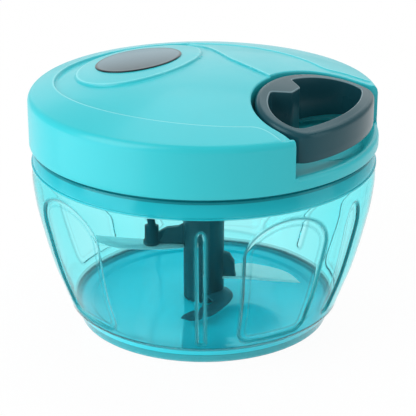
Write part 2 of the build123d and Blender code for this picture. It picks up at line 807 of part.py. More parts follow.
with BuildPart() as handle:
    with BuildSketch(Plane.XY.offset(handle_z)):
        with Locations((pocket_cx, 0)):
            Ellipse(handle_a, handle_b)
            Rectangle(lid_r, 2 * handle_b, align=(Align.MIN, Align.CENTER))
        Circle(handle_r, mode=Mode.INTERSECT)
    extrude(amount=high_z - handle_z)
    fillet(handle.edges().filter_by(Axis.Z).sort_by(Axis.X)[-2:], handle_b * handle_corner_share)
    add(finger_room.part, mode=Mode.SUBTRACT)
    add(handle_crown.part, mode=Mode.INTERSECT)
    fillet(handle.faces().sort_by(Axis.Z)[-1].outer_wire().edges(), handle_edge_r)
    ring_faces = handle.faces().filter_by(lambda face: len(face.inner_wires()) > 0)
    fillet(ring_faces.sort_by(Axis.Z)[-1].inner_wires()[0].edges(), hole_edge_r)
    with BuildSketch(Plane.XY.offset(handle_z)) as tab_plan:
        with BuildLine():
            root_x = handle_nose_x + hole_nose_w / 2
            Polyline(
                (root_x, -tab_root_w / 2), (tab_x, -tab_tip_w / 2), (tab_x, tab_tip_w / 2),
                (root_x, tab_root_w / 2), close=True,
            )
        make_face()
        fillet(tab_plan.vertices().sort_by(Axis.X)[-2:], tab_round)
    extrude(amount=dome_top_z - tab_drop - handle_z)
    with BuildSketch(Plane.YZ.offset(handle_nose_x - overrun)):
        with Locations((0, cord_z)):
            Circle(cord_bore_r)
    extrude(amount=tab_reach, mode=Mode.SUBTRACT)
    with BuildSketch(Plane.YZ.offset(knot_x)):
        with Locations((0, cord_z)):
            Circle(knot_r + knot_gap)
    extrude(amount=knot_seat + overrun, mode=Mode.SUBTRACT)
handle.part.label = "handle"
export_step(handle.part, "parts/handle.step")

# Cord from the eyelet to the stopper knot in the tab
with BuildPart() as pull_cord:
    with BuildSketch(Plane.YZ.offset(split_x)):
        with Locations((0, cord_z)):
            Circle(cord_r)
    extrude(amount=knot_x - split_x)
pull_cord.part.label = "pull_cord"
export_step(pull_cord.part, "parts/pull_cord.step")

with BuildPart() as cord_knot:
    with Locations((knot_x + knot_r - knot_gap, 0, cord_z)):
        Sphere(knot_r)
    split(bisect_by=Plane.YZ.offset(knot_x), keep=Keep.TOP)
cord_knot.part.label = "cord_knot"
export_step(cord_knot.part, "parts/cord_knot.step")

# Cord inside the lid, from its last turn on the spool through the eyelet
bend_x = eyelet_x - cord_bend_back
leave_x = wind_r**2 / bend_x
leave_y = -wind_r * sqrt(1 - (wind_r / bend_x) ** 2)
with BuildPart() as cord_feed:
    with BuildLine(Plane.XY.offset(cord_z)) as feed_path:
        FilletPolyline((leave_x, leave_y), (bend_x, 0), (split_x, 0), radius=cord_bend_r)
    with BuildSketch(Plane(origin=feed_path.line @ 0, z_dir=feed_path.line % 0)):
        Circle(cord_r)
    sweep()
cord_feed.part.label = "cord_feed"
export_step(cord_feed.part, "parts/cord_feed.step")

# Bush that the cord runs out through
with BuildPart() as cord_eyelet:
    with BuildSketch(Plane.XZ):
        with BuildLine():
            seat_x = nose_x - eyelet_sink
            Polyline(
                (eyelet_x, cord_z + cord_bore_r + eyelet_flare),
                (eyelet_x + eyelet_flare, cord_z + cord_bore_r), (split_x, cord_z + cord_bore_r),
                (split_x, cord_z + eyelet_flange_r),
                (seat_x, cord_z + eyelet_flange_r), (seat_x, cord_z + eyelet_r),
                (eyelet_x, cord_z + eyelet_r), close=True,
            )
        make_face()
    revolve(axis=Axis((0, 0, cord_z), (1, 0, 0)))
cord_eyelet.part.label = "cord_eyelet"
export_step(cord_eyelet.part, "parts/cord_eyelet.step")

# Spool with its spring cavity, its hub and the two pins that carry the pawls
with BuildPart() as cord_spool:
    with BuildSketch(Plane.XZ):
        with BuildLine():
            cover_r = cavity_r + spring_cover_lap
            Polyline(
                (axle_bore_r, spool_z - spool_hub_h), (spool_hub_r, spool_z - spool_hub_h),
                (spool_hub_r, spool_z), (spool_flange_r, spool_z), (spool_flange_r, groove_z),
                (spool_drum_r, groove_z), (spool_drum_r, groove_top_z), (spool_flange_r, groove_top_z),
                (spool_flange_r, spool_top_z), (cover_r, spool_top_z),
                (cover_r, spool_top_z - spring_cover_t), (cavity_r, spool_top_z - spring_cover_t),
                (cavity_r, groove_z), (axle_bore_r, groove_z), close=True,
            )
        make_face()
    revolve(axis=Axis.Z)
    with BuildSketch(Plane.XY.offset(pawl_z)):
        with PolarLocations(pawl_pivot_r, 2):
            Circle(pawl_pin_r)
    extrude(amount=spool_z - pawl_z)
cord_spool.part.label = "cord_spool"
export_step(cord_spool.part, "parts/cord_spool.step")

with BuildPart() as cord_winding:
    with BuildSketch(Plane.XY.offset(groove_z + winding_lift)):
        Circle(wind_r + cord_r)
        Circle(spool_drum_r, mode=Mode.SUBTRACT)
    extrude(amount=winding_h)
cord_winding.part.label = "cord_winding"
export_step(cord_winding.part, "parts/cord_winding.step")

# Flat spiral spring: half turns about two centres, each half a pitch wider than the last
with BuildPart() as recoil_spring:
    with BuildSketch(Plane.XY.offset(groove_z + free_gap)):
        with BuildLine():
            starts = []
            ends = []
            for skin in (0, spring_t):
                side_x = arbor_r + skin
                starts.append((side_x, 0))
                for half in range(spring_half_turns):
                    side = (-1) ** half
                    next_x = side_x + spring_pitch / 2
                    ThreePointArc(
                        (side * side_x, 0),
                        (side * (side_x - next_x) / 2, side * (side_x + next_x) / 2),
                        (-side * next_x, 0),
                    )
                    side_x = next_x
                ends.append((side_x, 0))
            Line(*starts)
            Line(*ends)
        make_face()
    extrude(amount=spring_h)
recoil_spring.part.label = "recoil_spring"
export_step(recoil_spring.part, "parts/recoil_spring.step")

with BuildPart() as spring_cover:
    with BuildSketch(Plane.XY.offset(spool_top_z - spring_cover_t)):
        Circle(cavity_r + spring_cover_lap)
        Circle(arbor_r + free_gap, mode=Mode.SUBTRACT)
    extrude(amount=spring_cover_t)
spring_cover.part.label = "spring_cover"
export_step(spring_cover.part, "parts/spring_cover.step")

with BuildPart() as spring_arbor:
    with BuildSketch(Plane.XY.offset(groove_z + free_gap)):
        Circle(arbor_r)
        Circle(axle_bore_r, mode=Mode.SUBTRACT)
    extrude(amount=boss_z - groove_z - free_gap)
spring_arbor.part.label = "spring_arbor"
export_step(spring_arbor.part, "parts/spring_arbor.step")

# Steel axle in the cover's boss, with the washer and screw that hold the drive up
with BuildPart() as drive_axle:
    with BuildSketch(Plane.XY.offset(axle_z)):
        Circle(axle_r)
    extrude(amount=boss_z + axle_seat - axle_z)
    with BuildSketch(Plane.XY.offset(axle_z)):
        Circle(axle_screw_r)
    extrude(amount=axle_screw_l + pilot_past, mode=Mode.SUBTRACT)
drive_axle.part.label = "drive_axle"
export_step(drive_axle.part, "parts/drive_axle.step")

with BuildPart() as axle_washer:
    with BuildSketch(Plane.XY.offset(axle_z - washer_t)):
        Circle(washer_r)
        Circle(axle_screw_r + screw_gap, mode=Mode.SUBTRACT)
    extrude(amount=washer_t)
axle_washer.part.label = "axle_washer"
export_step(axle_washer.part, "parts/axle_washer.step")

with BuildPart() as axle_screw:
    head_z = axle_z - washer_t - pan_head_t
    with BuildSketch(Plane.XY.offset(head_z)):
        Circle(pan_head_r)
    extrude(amount=pan_head_t)
    fillet(axle_screw.edges().group_by(Axis.Z)[0], pan_round)
    with BuildSketch(Plane.XY.offset(head_z + pan_head_t)):
        Circle(axle_screw_r)
    extrude(amount=washer_t + axle_screw_l)
    with BuildSketch(Plane.XY.offset(head_z)):
        Rectangle(cross_l, cross_w)
        Rectangle(cross_w, cross_l)
    extrude(amount=cross_depth, mode=Mode.SUBTRACT)
axle_screw.part.label = "axle_screw"
export_step(axle_screw.part, "parts/axle_screw.step")

# Two clutch pawls that swing out into the cup's teeth
for letter, turn in (("a", 0), ("b", 180)):
    with BuildPart() as pawl:
        pivot = (pawl_pivot_r * cos(radians(turn)), pawl_pivot_r * sin(radians(turn)), pawl_z)
        outwards = (cos(radians(turn)), sin(radians(turn)), 0)
        with BuildSketch(Plane(origin=pivot, x_dir=outwards, z_dir=(0, 0, 1))):
            Circle(pawl_eye_r)
            with Locations((pawl_tip_x, pawl_tip_y)):
                Circle(pawl_tip_r)
            make_hull()
            Circle(pawl_pin_r + run_gap, mode=Mode.SUBTRACT)
        extrude(amount=pawl_t)
    pawl.part.label = f"pawl_{letter}"
    export_step(pawl.part, f"parts/pawl_{letter}.step")

# Toothed cup on the tube whose socket takes the rotor's dogs
with BuildPart() as drive_coupling:
    with BuildSketch(Plane.XZ):
        with BuildLine():
            cup_floor_z = cup_z + cup_floor_t
            room_z = tube_z + socket_depth
            Polyline(
                (axle_bore_r, web_z), (screw_room_r, web_z), (screw_room_r, room_z), (socket_r, room_z),
                (socket_r, tube_z), (drive_tube_r, tube_z), (drive_tube_r, cup_z), (cup_r, cup_z),
                (cup_r, cup_top_z), (cup_inner_r, cup_top_z), (cup_inner_r, cup_floor_z),
                (cup_hub_r, cup_floor_z), (cup_hub_r, cup_floor_z + cup_hub_h),
                (axle_bore_r, cup_floor_z + cup_hub_h), close=True,
            )
        make_face()
    revolve(axis=Axis.Z)
    with BuildSketch(Plane.XY.offset(tube_z)):
        with PolarLocations(0, 2, 90):
            add(ring_sector(dog_core_r + dog_gap, socket_r + weld, -dog_span / 2, dog_span))
    extrude(amount=socket_depth)
    with BuildSketch(Plane.XY.offset(cup_floor_z)):
        with PolarLocations(0, tooth_count):
            add(ring_sector(cup_inner_r - tooth_reach, cup_inner_r + weld, tooth_turn, tooth_span))
    extrude(amount=cup_depth)
drive_coupling.part.label = "drive_coupling"
export_step(drive_coupling.part, "parts/drive_coupling.step")

# Plain bearing that the drive tube turns in
with BuildPart() as drive_bush:
    with BuildSketch(Plane.XY.offset(plate_z - bush_drop)):
        Circle(bush_r)
        Circle(bush_bore_r, mode=Mode.SUBTRACT)
    extrude(amount=bush_drop + plate_t)
    with BuildSketch(Plane.XY.offset(plate_top_z)):
        Circle(bush_r + bush_flange_w)
        Circle(bush_bore_r, mode=Mode.SUBTRACT)
    extrude(amount=bush_flange_t)
drive_bush.part.label = "drive_bush"
export_step(drive_bush.part, "parts/drive_bush.step")
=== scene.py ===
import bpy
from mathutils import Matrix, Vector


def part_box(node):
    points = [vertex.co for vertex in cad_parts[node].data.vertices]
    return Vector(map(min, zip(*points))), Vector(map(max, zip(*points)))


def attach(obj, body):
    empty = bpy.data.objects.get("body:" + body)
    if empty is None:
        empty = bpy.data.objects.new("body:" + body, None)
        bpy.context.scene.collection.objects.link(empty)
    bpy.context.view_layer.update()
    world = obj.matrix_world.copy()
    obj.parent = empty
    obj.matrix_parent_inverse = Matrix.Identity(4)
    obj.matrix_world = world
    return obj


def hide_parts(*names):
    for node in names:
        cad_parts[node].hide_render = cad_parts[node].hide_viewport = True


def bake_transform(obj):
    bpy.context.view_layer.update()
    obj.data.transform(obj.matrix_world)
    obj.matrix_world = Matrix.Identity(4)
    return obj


bl_info = {
    "name": "Pull Chopper",
    "version": (1, 0, 0),
    "blender": (4, 5, 0),
    "location": "View3D > Sidebar > Chopper",
    "description": "Dresses a hand-pulled food chopper: moulded lid, clear bowl, ground blades and stage",
    "category": "Object",
}

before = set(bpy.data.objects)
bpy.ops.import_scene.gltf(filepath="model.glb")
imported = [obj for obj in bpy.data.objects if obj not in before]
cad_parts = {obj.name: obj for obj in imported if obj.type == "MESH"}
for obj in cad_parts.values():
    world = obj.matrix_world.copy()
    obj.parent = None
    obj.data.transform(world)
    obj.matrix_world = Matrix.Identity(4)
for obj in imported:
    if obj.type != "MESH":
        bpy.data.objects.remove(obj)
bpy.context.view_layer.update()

import math
from collections import namedtuple

import bmesh
import bpy
import numpy as np
from mathutils import Vector

MM = 0.001
TURN = 2 * math.pi
FAR_OFF = 999.0           # millimetres, out of every piece's reach

Grip = namedtuple("Grip", "turns foot_w spring_w foot_z spring_z top_z corner")
Blade = namedtuple("Blade", "turn length width back front")
Lamp = namedtuple("Lamp", "turn rise away size power")


def node_box(node):
    """A node's lowest and highest corners in millimetres."""
    low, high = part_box(node)
    return np.array(low) / MM, np.array(high) / MM


# Levels and radii that the frame gives, in millimetres
lid_low, lid_high = node_box("lid_cover")
handle_low, handle_high = node_box("handle")
lid_r = lid_high[1]
edge_z = lid_low[2]
bowl_h = node_box("bowl")[1][2]
handle_z = handle_low[2]
handle_r = handle_high[0]
handle_nose_x = handle_low[0]

# Lid's shell
dome_top_z = edge_z + 27.17
dome_sag = 9.5
shoulder_r = 3.0
drum_wall = 2.0
dome_wall = 2.6
edge_round = 0.4
ledge_round = 1.8
lid_columns = 400
meeting_tries = 2400      # places where the columns' crowding is looked for
dome_tries = 620          # places where a column's steps are looked for
dome_rows = 160
dome_steepness = 2.6      # how strongly a column's points gather on a step
corner_columns = 14.0     # columns in which the pocket's rounds fade out at its corners

# Handle's pocket in the lid
pocket_cx = 47.0
pocket_gap = 1.3
nose_x = handle_nose_x - pocket_gap
pocket_a = pocket_cx - nose_x
pocket_b = 30.4
pocket_floor_z = edge_z + 4.6
pocket_wall = 2.0
pocket_round = 0.7
pocket_foot = 0.8
pocket_points = 1200      # points of the pocket's plan, and how often it is eased
pocket_passes = 60
flare_in = 3.5
flare_mid = (4.8, 1.3)
flare_end = (13.0, 6.2)
dish_cx = 45.0
dish_r = 15.0
dish_depth = 0.7
dish_edge_w = 1.2

# Steps pressed into the dome
panel_a = 53.5
panel_b = 43.4
panel_cy = -4.0
panel_margin = 4.3
panel_joint_w = 3.0
leaf_a = 53.5
leaf_b = 47.5
# half-width of the painted highlight lines along the steps' upper edges
painted_highlight_w = 0.45
leaf_shares = [
    (-0.80, 0.80), (-0.62, 0.765), (-0.48, 0.72), (-0.36, 0.665), (-0.24, 0.58), (-0.10, 0.445),
    (0.04, 0.31), (0.15, 0.24), (0.33, 0.15), (0.50, 0.08),
]
shoulder_clear = 1.2
shoulder_fade_w = 2.8

# Badge and its pad
pad_cx = -26.7
pad_a = 20.6
pad_b = 28.0
pad_crowd = 2.0           # extra columns beside the pad's side, and how far they reach
pad_crowd_w = 3.5
badge_cx = -27.0
badge_a = 14.6
badge_b = 17.2
badge_t = 1.6
badge_proud = 0.5
badge_seat_gap = 0.1
badge_seat_edge = (0.5, 0.4)
badge_base_sink = 0.2
badge_columns = 160
badge_profile = [         # growth over the plan, depth under the dome
    (-0.9, 1.25), (-0.9, 0.35), (0.25, -0.02), (0.3, -0.16), (0.2, -0.34), (0.0, -0.46),
    (-0.1, -0.5), (-0.5, -0.44), (-0.8, -0.42), (-2.0, -0.44), (-6.0, -0.5),
]
badge_middle = (1.25, -0.52)     # depths of its two middle points

# Screw bosses under the dome
boss_turns = (60, 140, 220, 300)
boss_ring_r = 50.0
boss_r = 3.4
boss_l = 16.0
boss_lift = 1.8

# Bowl
belly_r = 61.8
ledge_r = 49.8
ledge_z = 7.4
bowl_wall = 2.0
rim_r = 61.4
rim_band_h = 6.5
band_z = bowl_h - rim_band_h
lip_r = 62.0
lip_h = 0.8
foot_r = 46.0
foot_top_r = 47.6
foot_h = 5.8
foot_w = 3.6
floor_z = 4.2
floor_gap = 1.6
floor_r = 41.0
floor_step_h = 0.8
floor_step_w = 1.4
floor_bend_r = 3.2
bevel = 0.4
small_bevel = 0.3
rim_bevel = 0.35
lip_bevel = 0.2
hair = 0.1
pin_r = 2.0
pin_seat = 2.9
pin_boss_r = 5.0
pin_boss_h = 1.0
bowl_columns = 640
turn_tries = 7200
bowl_wall_shares = [
    (0, 0), (0.152, 0.242), (0.285, 0.45), (0.436, 0.633),
    (0.588, 0.79), (0.74, 0.925), (0.892, 1), (1, 0.99),
]
wall_stops = (ledge_z, 14.0, 44.5, 57.6, band_z)
wall_counts = (13, 21, 26, 2)

# Grips pressed into the bowl's wall
grips = (
    Grip((-112, -33, 35, 105, 177), 25.2, 31.6, 9.4, 45.0, 57.0, 4.0),
    Grip((-62, 70, -145), 2.4, 2.4, 9.4, 52.5, 55.3, 1.0),
    Grip((-4, 141), 5.0, 9.0, 11.0, 46.0, 55.0, 2.0),
)
grip_edge_w = 1.2
# painted shade lines inside each grip: their distance from the grip's edge, their half-width, their strength
# and their fading on the far side
grip_shade_line_gap = 2.2
grip_shade_line_w = 0.6
grip_crowd = 1.2          # extra columns beside the grips' sides, and how far they reach
grip_crowd_w = 0.72
grip_reach = 0.6          # radians beside its middle that a grip can reach
grip_inner_shade_share = 0.5    # strength of the inner line, and how much the far side's lines fade
grip_far_shade_fade = 0.75

# Bayonet's ramps inside the rim
ramp_turns = (18, 108, 198, 288)
ramp_span = 32
ramp_t = 1.8
ramp_reach = 1.4
ramp_drop = 1.4
ramp_weld = 0.3
ramp_columns = 25

# Handle
handle_a = pocket_cx - handle_nose_x
handle_b = handle_high[1]
crown_drop = 0.8
crown_sag = 9.3
underside_lift = 0.8
hole_nose_w = 4.9
hole_side_w = 3.5
hole_wall = 4.6
outer_bend = 14
hole_bend = 19
top_round = 2.0
hole_round = 0.55
under_round = 0.4
tab_reach = 11.5
tab_root_w = 21.0
tab_tip_w = 6.6
handle_columns = 480
# rows that carry the painted highlight along the hole's rim
handle_highlight_rows = 4      # rows of the hole's upper round that carry the edge mark
outline_count = 2400      # points of an outline before it is thinned out, and how often the hole's is eased
hole_passes = 300

# Cord
cord_r = 1.0
cord_z = 81.7
cord_turns = 3.4
cord_sides = 20
cord_points = 30
eyelet_x = 22.0           # where a pulled cord begins to stretch, and where that ends
feed_start = (0.9, 0.5)   # from the corner of the CAD's stretch to the cord's middle
feed_bend = ((19.0, -1.3), (20.6, -0.1))
knot_bite = 0.5

# Blades
blade_t = 0.9
blade_edge_t = 0.18
blade_back_round = (0.12, 0.05)
blade_root_r = 3.2
blade_root_w = 4.0
blade_points = 90
blade_shares = (0, 0.02, 0.2, 0.4, 0.6, 0.75, 0.85, 0.93, 1.0)
blades = {
    "blade_upper": Blade(
        198, 43.4, 8.7,
        [(0.27, -0.42), (0.36, -0.17), (0.50, 0), (0.75, 0.03), (1, 0)],
        [(0.14, 0.36), (0.35, 0.75), (0.66, 1), (0.80, 0.84), (0.91, 0.52), (1, 0)],
    ),
    "blade_middle": Blade(
        18, 36.2, 13.6,
        [(0.18, -0.12), (0.33, -0.05), (0.78, -0.02), (1, 0)],
        [(0.10, 0.5), (0.34, 0.99), (0.57, 0.93), (0.74, 0.77), (0.88, 0.48), (1, 0)],
    ),
    "blade_lower": Blade(
        -78, 28.6, 12.8,
        [(0.22, 0.20), (0.42, 0.56), (0.60, 0.42), (0.78, 0.16), (0.95, -0.02)],
        [(-0.10, 0.5), (0.02, 0.86), (0.25, 1), (0.65, 0.86), (0.87, 0.62), (0.98, 0.30), (0.95, -0.02)],
    ),
}

# Camera and stage: turns count from the camera's side, to the right; lamps and card are in metres and watts
photo_px = 416
axis_px = 203.75
camera_lens = 132.85
camera_away = 562.5
camera_rise = 22.0
camera_turn = 29.0
camera_aim_z = 39.5
lamp_aim_z = 50.0
card_half = 3.0
lamps = {
    "key_left": Lamp(-62, 38, 0.75, (0.5, 0.7), 3.4),
    "rear_top": Lamp(150, 60, 0.8, (0.9, 0.6), 2.4),
    "rear_low": Lamp(178, 22, 0.7, (0.9, 0.3), 0.6),
    "left_card": Lamp(-63, 12, 0.21, (0.24, 0.09), 0.07),
    "fill_right": Lamp(75, 18, 0.9, (0.4, 0.8), 1.15),
    "front_low": Lamp(-8, 12, 1.1, (0.9, 0.5), 0.4),
}


def colour_property(name, description, default):
    """A colour that a user would change."""
    return bpy.props.FloatVectorProperty(
        name=name, description=description, subtype="COLOR", size=3, default=default)


def length_property(name, description, default):
    """A length in millimetres that a user would change."""
    return bpy.props.FloatProperty(name=name, description=description, default=default * MM, unit="LENGTH")


class ChopperLook(bpy.types.PropertyGroup):
    """Sizes and colours that a user would change."""

    lid_colour: colour_property("Lid", "Moulded lid", (0.020, 0.52, 0.585))
    bowl_tint: colour_property("Bowl tint", "What the clear bowl lets through", (0.0, 0.905, 0.935))
    skirt_colour: colour_property("Skirt", "Base plate and skirt", (0.010, 0.475, 0.56))
    seal_colour: colour_property("Seal", "Rubber ring under the lid", (0.0, 0.26, 0.31))
    slate_colour: colour_property("Slate", "Handle and hub", (0.009, 0.058, 0.076))
    badge_colour: colour_property("Badge", "Oval plate", (0.035, 0.10, 0.13))
    steel_colour: colour_property("Steel", "Ground blades", (0.92, 0.94, 0.94))
    tint_density: bpy.props.FloatProperty(
        name="Tint density", description="How fast the bowl's plastic takes up light", default=285.0, min=0.0)
    panel_depth: length_property("Panel depth", "Depth of the sunk panel", 1.2)
    leaf_depth: length_property("Leaf depth", "Depth of the leaf beside the panel", 0.5)
    pad_height: length_property("Pad height", "Badge's pad over the panel", 1.0)
    step_width: length_property("Step width", "Width of the steps' walls in plan", 0.85)
    grip_depth: length_property("Grip depth", "Depth of the bowl's grip recesses", 0.8)
    edge_grind: length_property("Blade grind", "Width of the ground edge", 2.6)


# Nodes


def maths(operation, swapped=False):
    """An operator for Wire that adds a Math node."""
    def build(self, other):
        first, second = (other, self) if swapped else (self, other)
        return self.graph.add("ShaderNodeMath", {0: first, 1: second}, operation=operation)
    return build


class Wire:
    """A node's output that Python's operators build Math nodes on."""

    __add__ = maths("ADD")
    __radd__ = maths("ADD", swapped=True)
    __sub__ = maths("SUBTRACT")
    __rsub__ = maths("SUBTRACT", swapped=True)
    __mul__ = maths("MULTIPLY")
    __rmul__ = maths("MULTIPLY", swapped=True)
    __truediv__ = maths("DIVIDE")

    def __init__(self, graph, socket):
        self.graph = graph
        self.socket = socket

    def clamped(self):
        return self.graph.add("ShaderNodeMath", {0: self, 1: 0.0}, operation="ADD", use_clamp=True)

    def fraction(self):
        return self.graph.add("ShaderNodeMath", {0: self}, operation="FRACT")

    def above(self, level, reach):
        """A mask that rises from 0 to 1 over a reach above a level."""
        return ((self - level) / reach).clamped()

    def below(self, level, reach):
        """A mask that rises from 0 to 1 over a reach below a level."""
        return ((level - self) / reach).clamped()


class Graph:
    """A node tree and what is added to it."""

    def __init__(self, tree):
        self.tree = tree

    def fill(self, node, inputs):
        """Links wires to a node's sockets, by name or number, or sets the sockets' own values."""
        for key, value in inputs.items():
            socket = node.inputs[key]
            if isinstance(value, Wire):
                self.tree.links.new(value.socket, socket)
            elif hasattr(value, "__len__") and len(value) == 3 and len(socket.default_value) == 4:
                socket.default_value = (*value, 1.0)
            else:
                socket.default_value = value

    def add(self, kind, inputs=None, output=0, **settings):
        """A new node's output. The node's settings are made first and its sockets filled after."""
        node = self.tree.nodes.new(kind)
        for key, value in settings.items():
            setattr(node, key, value)
        self.fill(node, inputs or {})
        return Wire(self, node.outputs[output])

    def axes(self, spot):
        """The three parts of a vector."""
        first = self.add("ShaderNodeSeparateXYZ", {0: spot})
        return [Wire(self, socket) for socket in first.socket.node.outputs]

    def rays(self, *kinds):
        """Marks of the kinds of ray that look here."""
        return [self.add("ShaderNodeLightPath", output=f"Is {kind} Ray") for kind in kinds]


class Finish(Graph):
    """One material and the nodes in it."""

    def __init__(self, name, inputs):
        self.material = bpy.data.materials.new(name)
        self.material.use_nodes = True
        super().__init__(self.material.node_tree)
        self.shader = self.tree.nodes["Principled BSDF"]
        self.set(inputs)

    def set(self, inputs):
        """Fills the sockets of the material's own shader."""
        self.fill(self.shader, inputs)

    def place(self):
        return self.add("ShaderNodeTexCoord", output="Object")

    def noise(self, scale, detail=2.0, stretch=(1, 1, 1)):
        spot = self.add("ShaderNodeMapping", {"Vector": self.place(), "Scale": stretch})
        return self.add("ShaderNodeTexNoise", {"Vector": spot, "Scale": scale, "Detail": detail})

    def edge(self):
        """The mesh's own mark of where painted light runs along its edges: painted highlights on the lid's
        steps and the handle's hole, painted shade lines along the bowl's grips.
        """
        return self.add("ShaderNodeAttribute", output="Fac", attribute_name="edge")

    def mix(self, mask, first, second):
        """A colour between two, by a mask."""
        return self.add("ShaderNodeMix", {"Factor": mask, 6: first, 7: second}, 2, data_type="RGBA")

    def bump(self, height, strength, reach):
        relief = self.add("ShaderNodeBump", {"Height": height, "Strength": strength, "Distance": reach})
        self.set({"Normal": relief})

    def cover(self, mask, shader):
        """Lays another shader over the material's own, by a mask."""
        own = Wire(self, self.shader.outputs[0])
        blend = self.add("ShaderNodeMixShader", {0: mask, 1: own, 2: shader})
        self.put_out({"Surface": blend})

    def put_out(self, inputs):
        self.fill(self.tree.nodes["Material Output"], inputs)


class Growth(Graph):
    """A geometry tree with named inputs for its sizes, in metres or as counts."""

    def __init__(self, name, sizes):
        super().__init__(bpy.data.node_groups.new(name, "GeometryNodeTree"))
        sockets = self.tree.interface
        sockets.new_socket("Geometry", in_out="INPUT", socket_type="NodeSocketGeometry")
        for key, value in sizes.items():
            sockets.new_socket(key, in_out="INPUT", socket_type="NodeSocketFloat").default_value = value
        sockets.new_socket("Geometry", in_out="OUTPUT", socket_type="NodeSocketGeometry")
        self.source = self.tree.nodes.new("NodeGroupInput")

    def given(self, key):
        return Wire(self, self.source.outputs[key])

    def put_out(self, geometry, level, finish):
        """Lifts the geometry to its level, makes it real and gives it its finish."""
        lift = self.add("ShaderNodeCombineXYZ", {"Z": level})
        moved = self.add("GeometryNodeTransform", {"Geometry": geometry, "Translation": lift})
        real = self.add("GeometryNodeRealizeInstances", {"Geometry": moved})
        coloured = self.add("GeometryNodeSetMaterial", {"Geometry": real, "Material": finish})
        self.fill(self.tree.nodes.new("NodeGroupOutput"), {0: coloured})
        return self.tree


# Materials


def shaded(colour, share):
    """A colour made darker or lighter by a share."""
    return tuple(min(1.0, part * share) for part in colour)


def moulded(name, colour, rough, grain=900.0, depth=0.06, spread=0.06, coat=0.0, shine=0.3,
            painted_highlight_colour=None, tone=(1.0, 1.0, 1.0)):
    """Moulded plastic: faint flow marks in the colour, a fine spark-eroded grain, a roughness that varies
    over it, and a painted highlight along the mesh's marked edges where a highlight colour is given.
    """
    finish = Finish(name, {
        "Coat Weight": coat, "Coat Roughness": 0.12, "Specular IOR Level": shine, "Specular Tint": tone,
    })
    flow = finish.noise(38.0, 3.0, (1, 1, 0.4))
    body = finish.mix(flow, shaded(colour, 1 - spread), shaded(colour, 1 + spread))
    if painted_highlight_colour:
        # painted highlight: a lighter colour along the mesh's marked upper edges, where light would catch
        # them
        body = finish.mix(finish.edge() * 0.6, body, painted_highlight_colour)
    finish.set({"Base Color": body, "Roughness": rough + (finish.noise(120.0) - 0.5) * 0.10})
    finish.bump(finish.noise(grain), depth, 0.0002)
    return finish.material


def clear_plastic(name, tint, density, skin):
    """Clear tinted plastic that takes up light along its way, milky where the rim is thick and over the
    floor, whose lighter teal is painted light passing through it; painted shade darkens the gap under the
    lid, the lip's lower edge, the groove over the foot and lines along the grips.
    """
    finish = Finish(name, {"Transmission Weight": 1.0, "IOR": 1.2, "Specular Tint": (0.3, 0.95, 1.0)})
    wisp = finish.noise(30.0, 2.0, (1, 1, 0.5))
    finish.set({
        "Base Color": finish.mix(wisp, (0.90, 0.99, 1.0), (0.95, 1.0, 1.0)),
        "Roughness": 0.012 + finish.noise(60.0) * 0.012,
    })
    finish.bump(finish.noise(22.0), 0.03, 0.0004)

    height = finish.axes(finish.place())[2] / MM
    # painted shade: the mesh's marks of dark lines along the grips' edges
    line = finish.edge()
    rim = height.above(band_z + 0.1, 0.3)
    # the floor is milky and a lighter teal: painted light that passes down through the floor and back
    floor = height.above(floor_z - 1.0, 0.3) * height.below(floor_z + floor_step_h + 0.3, 0.3)
    foot = height.below(foot_h + 0.6, 0.4)
    # painted shade: the groove over the foot, the gap under the lid at the rim's top and a dark line at the
    # lip's lower edge
    groove = height.below(ledge_z - 0.3, 0.2) * height.above(foot_h, 0.2)
    seam = height.above(bowl_h - 1.1, 0.25) + height.below(band_z + 0.4, 0.15) * rim
    # the lighter floor teal is painted light; the next mix lays the painted shade over it
    body = finish.mix(floor, finish.mix(wisp, shaded(skin, 0.94), shaded(skin, 1.06)), shaded(skin, 1.65))
    body = finish.mix((seam + groove).clamped(), body, shaded(skin, 0.5))
    milky = finish.add("ShaderNodeBsdfPrincipled", {
        # the grips' painted shade lines
        "Base Color": finish.mix(line, body, shaded(skin, 0.5)),
        "Roughness": 0.14 + wisp * 0.06 - floor * 0.06,
        "Specular Tint": (0.4, 0.95, 1.0),
    })
    milkiness = rim * 0.86 + foot * 0.7 + groove * 0.3 + floor * 0.3 + line * 0.9
    finish.cover(milkiness.clamped(), milky)
    finish.put_out({"Volume": finish.add("ShaderNodeVolumeAbsorption", {"Color": tint, "Density": density})})
    return finish.material


def ground_steel(name, colour, rough):
    """Rolled sheet with fine grinding lines across it."""
    finish = Finish(name, {"Metallic": 0.2})
    lines = finish.noise(260.0, 3.0, (0.08, 1.0, 1.0))
    stain = finish.noise(45.0, 3.0)
    finish.set({
        "Base Color": finish.mix(stain, shaded(colour, 0.86), shaded(colour, 1.08)),
        "Roughness": rough + lines * 0.14,
    })
    finish.bump(lines, 0.12, 0.0001)
    return finish.material


def painted_badge_sheen(name, colour):
    """Lacquered oval plate with a painted reflection: pale at the back, darker to the front, with a
    near-black rim.
    """
    finish = Finish(name, {
        "Metallic": 0.1, "Coat Weight": 0.2, "Coat Roughness": 0.06, "Specular Tint": (0.6, 0.9, 1.0),
    })
    x, y, _ = finish.axes(finish.place())
    x = (x / MM - badge_cx) / badge_a
    y = y / (badge_b * MM)
    # painted reflection: pale at the back, dark towards the camera
    forward = (x * 0.5 - y * 0.85) * 0.5 + 0.5
    speck = finish.noise(2400.0, 1.0)
    fade = finish.mix(forward.clamped(), shaded(colour, 2.2), shaded(colour, 0.2))
    flecked = finish.mix(speck * 0.12, fade, shaded(colour, 2.2))
    rim = (x * x + y * y).above(0.90, 0.06)
    body = finish.mix(rim, flecked, shaded(colour, 0.08))
    finish.set({"Base Color": body, "Roughness": 0.26 + speck * 0.08})
    finish.bump(speck, 0.04, 0.0001)
    return finish.material


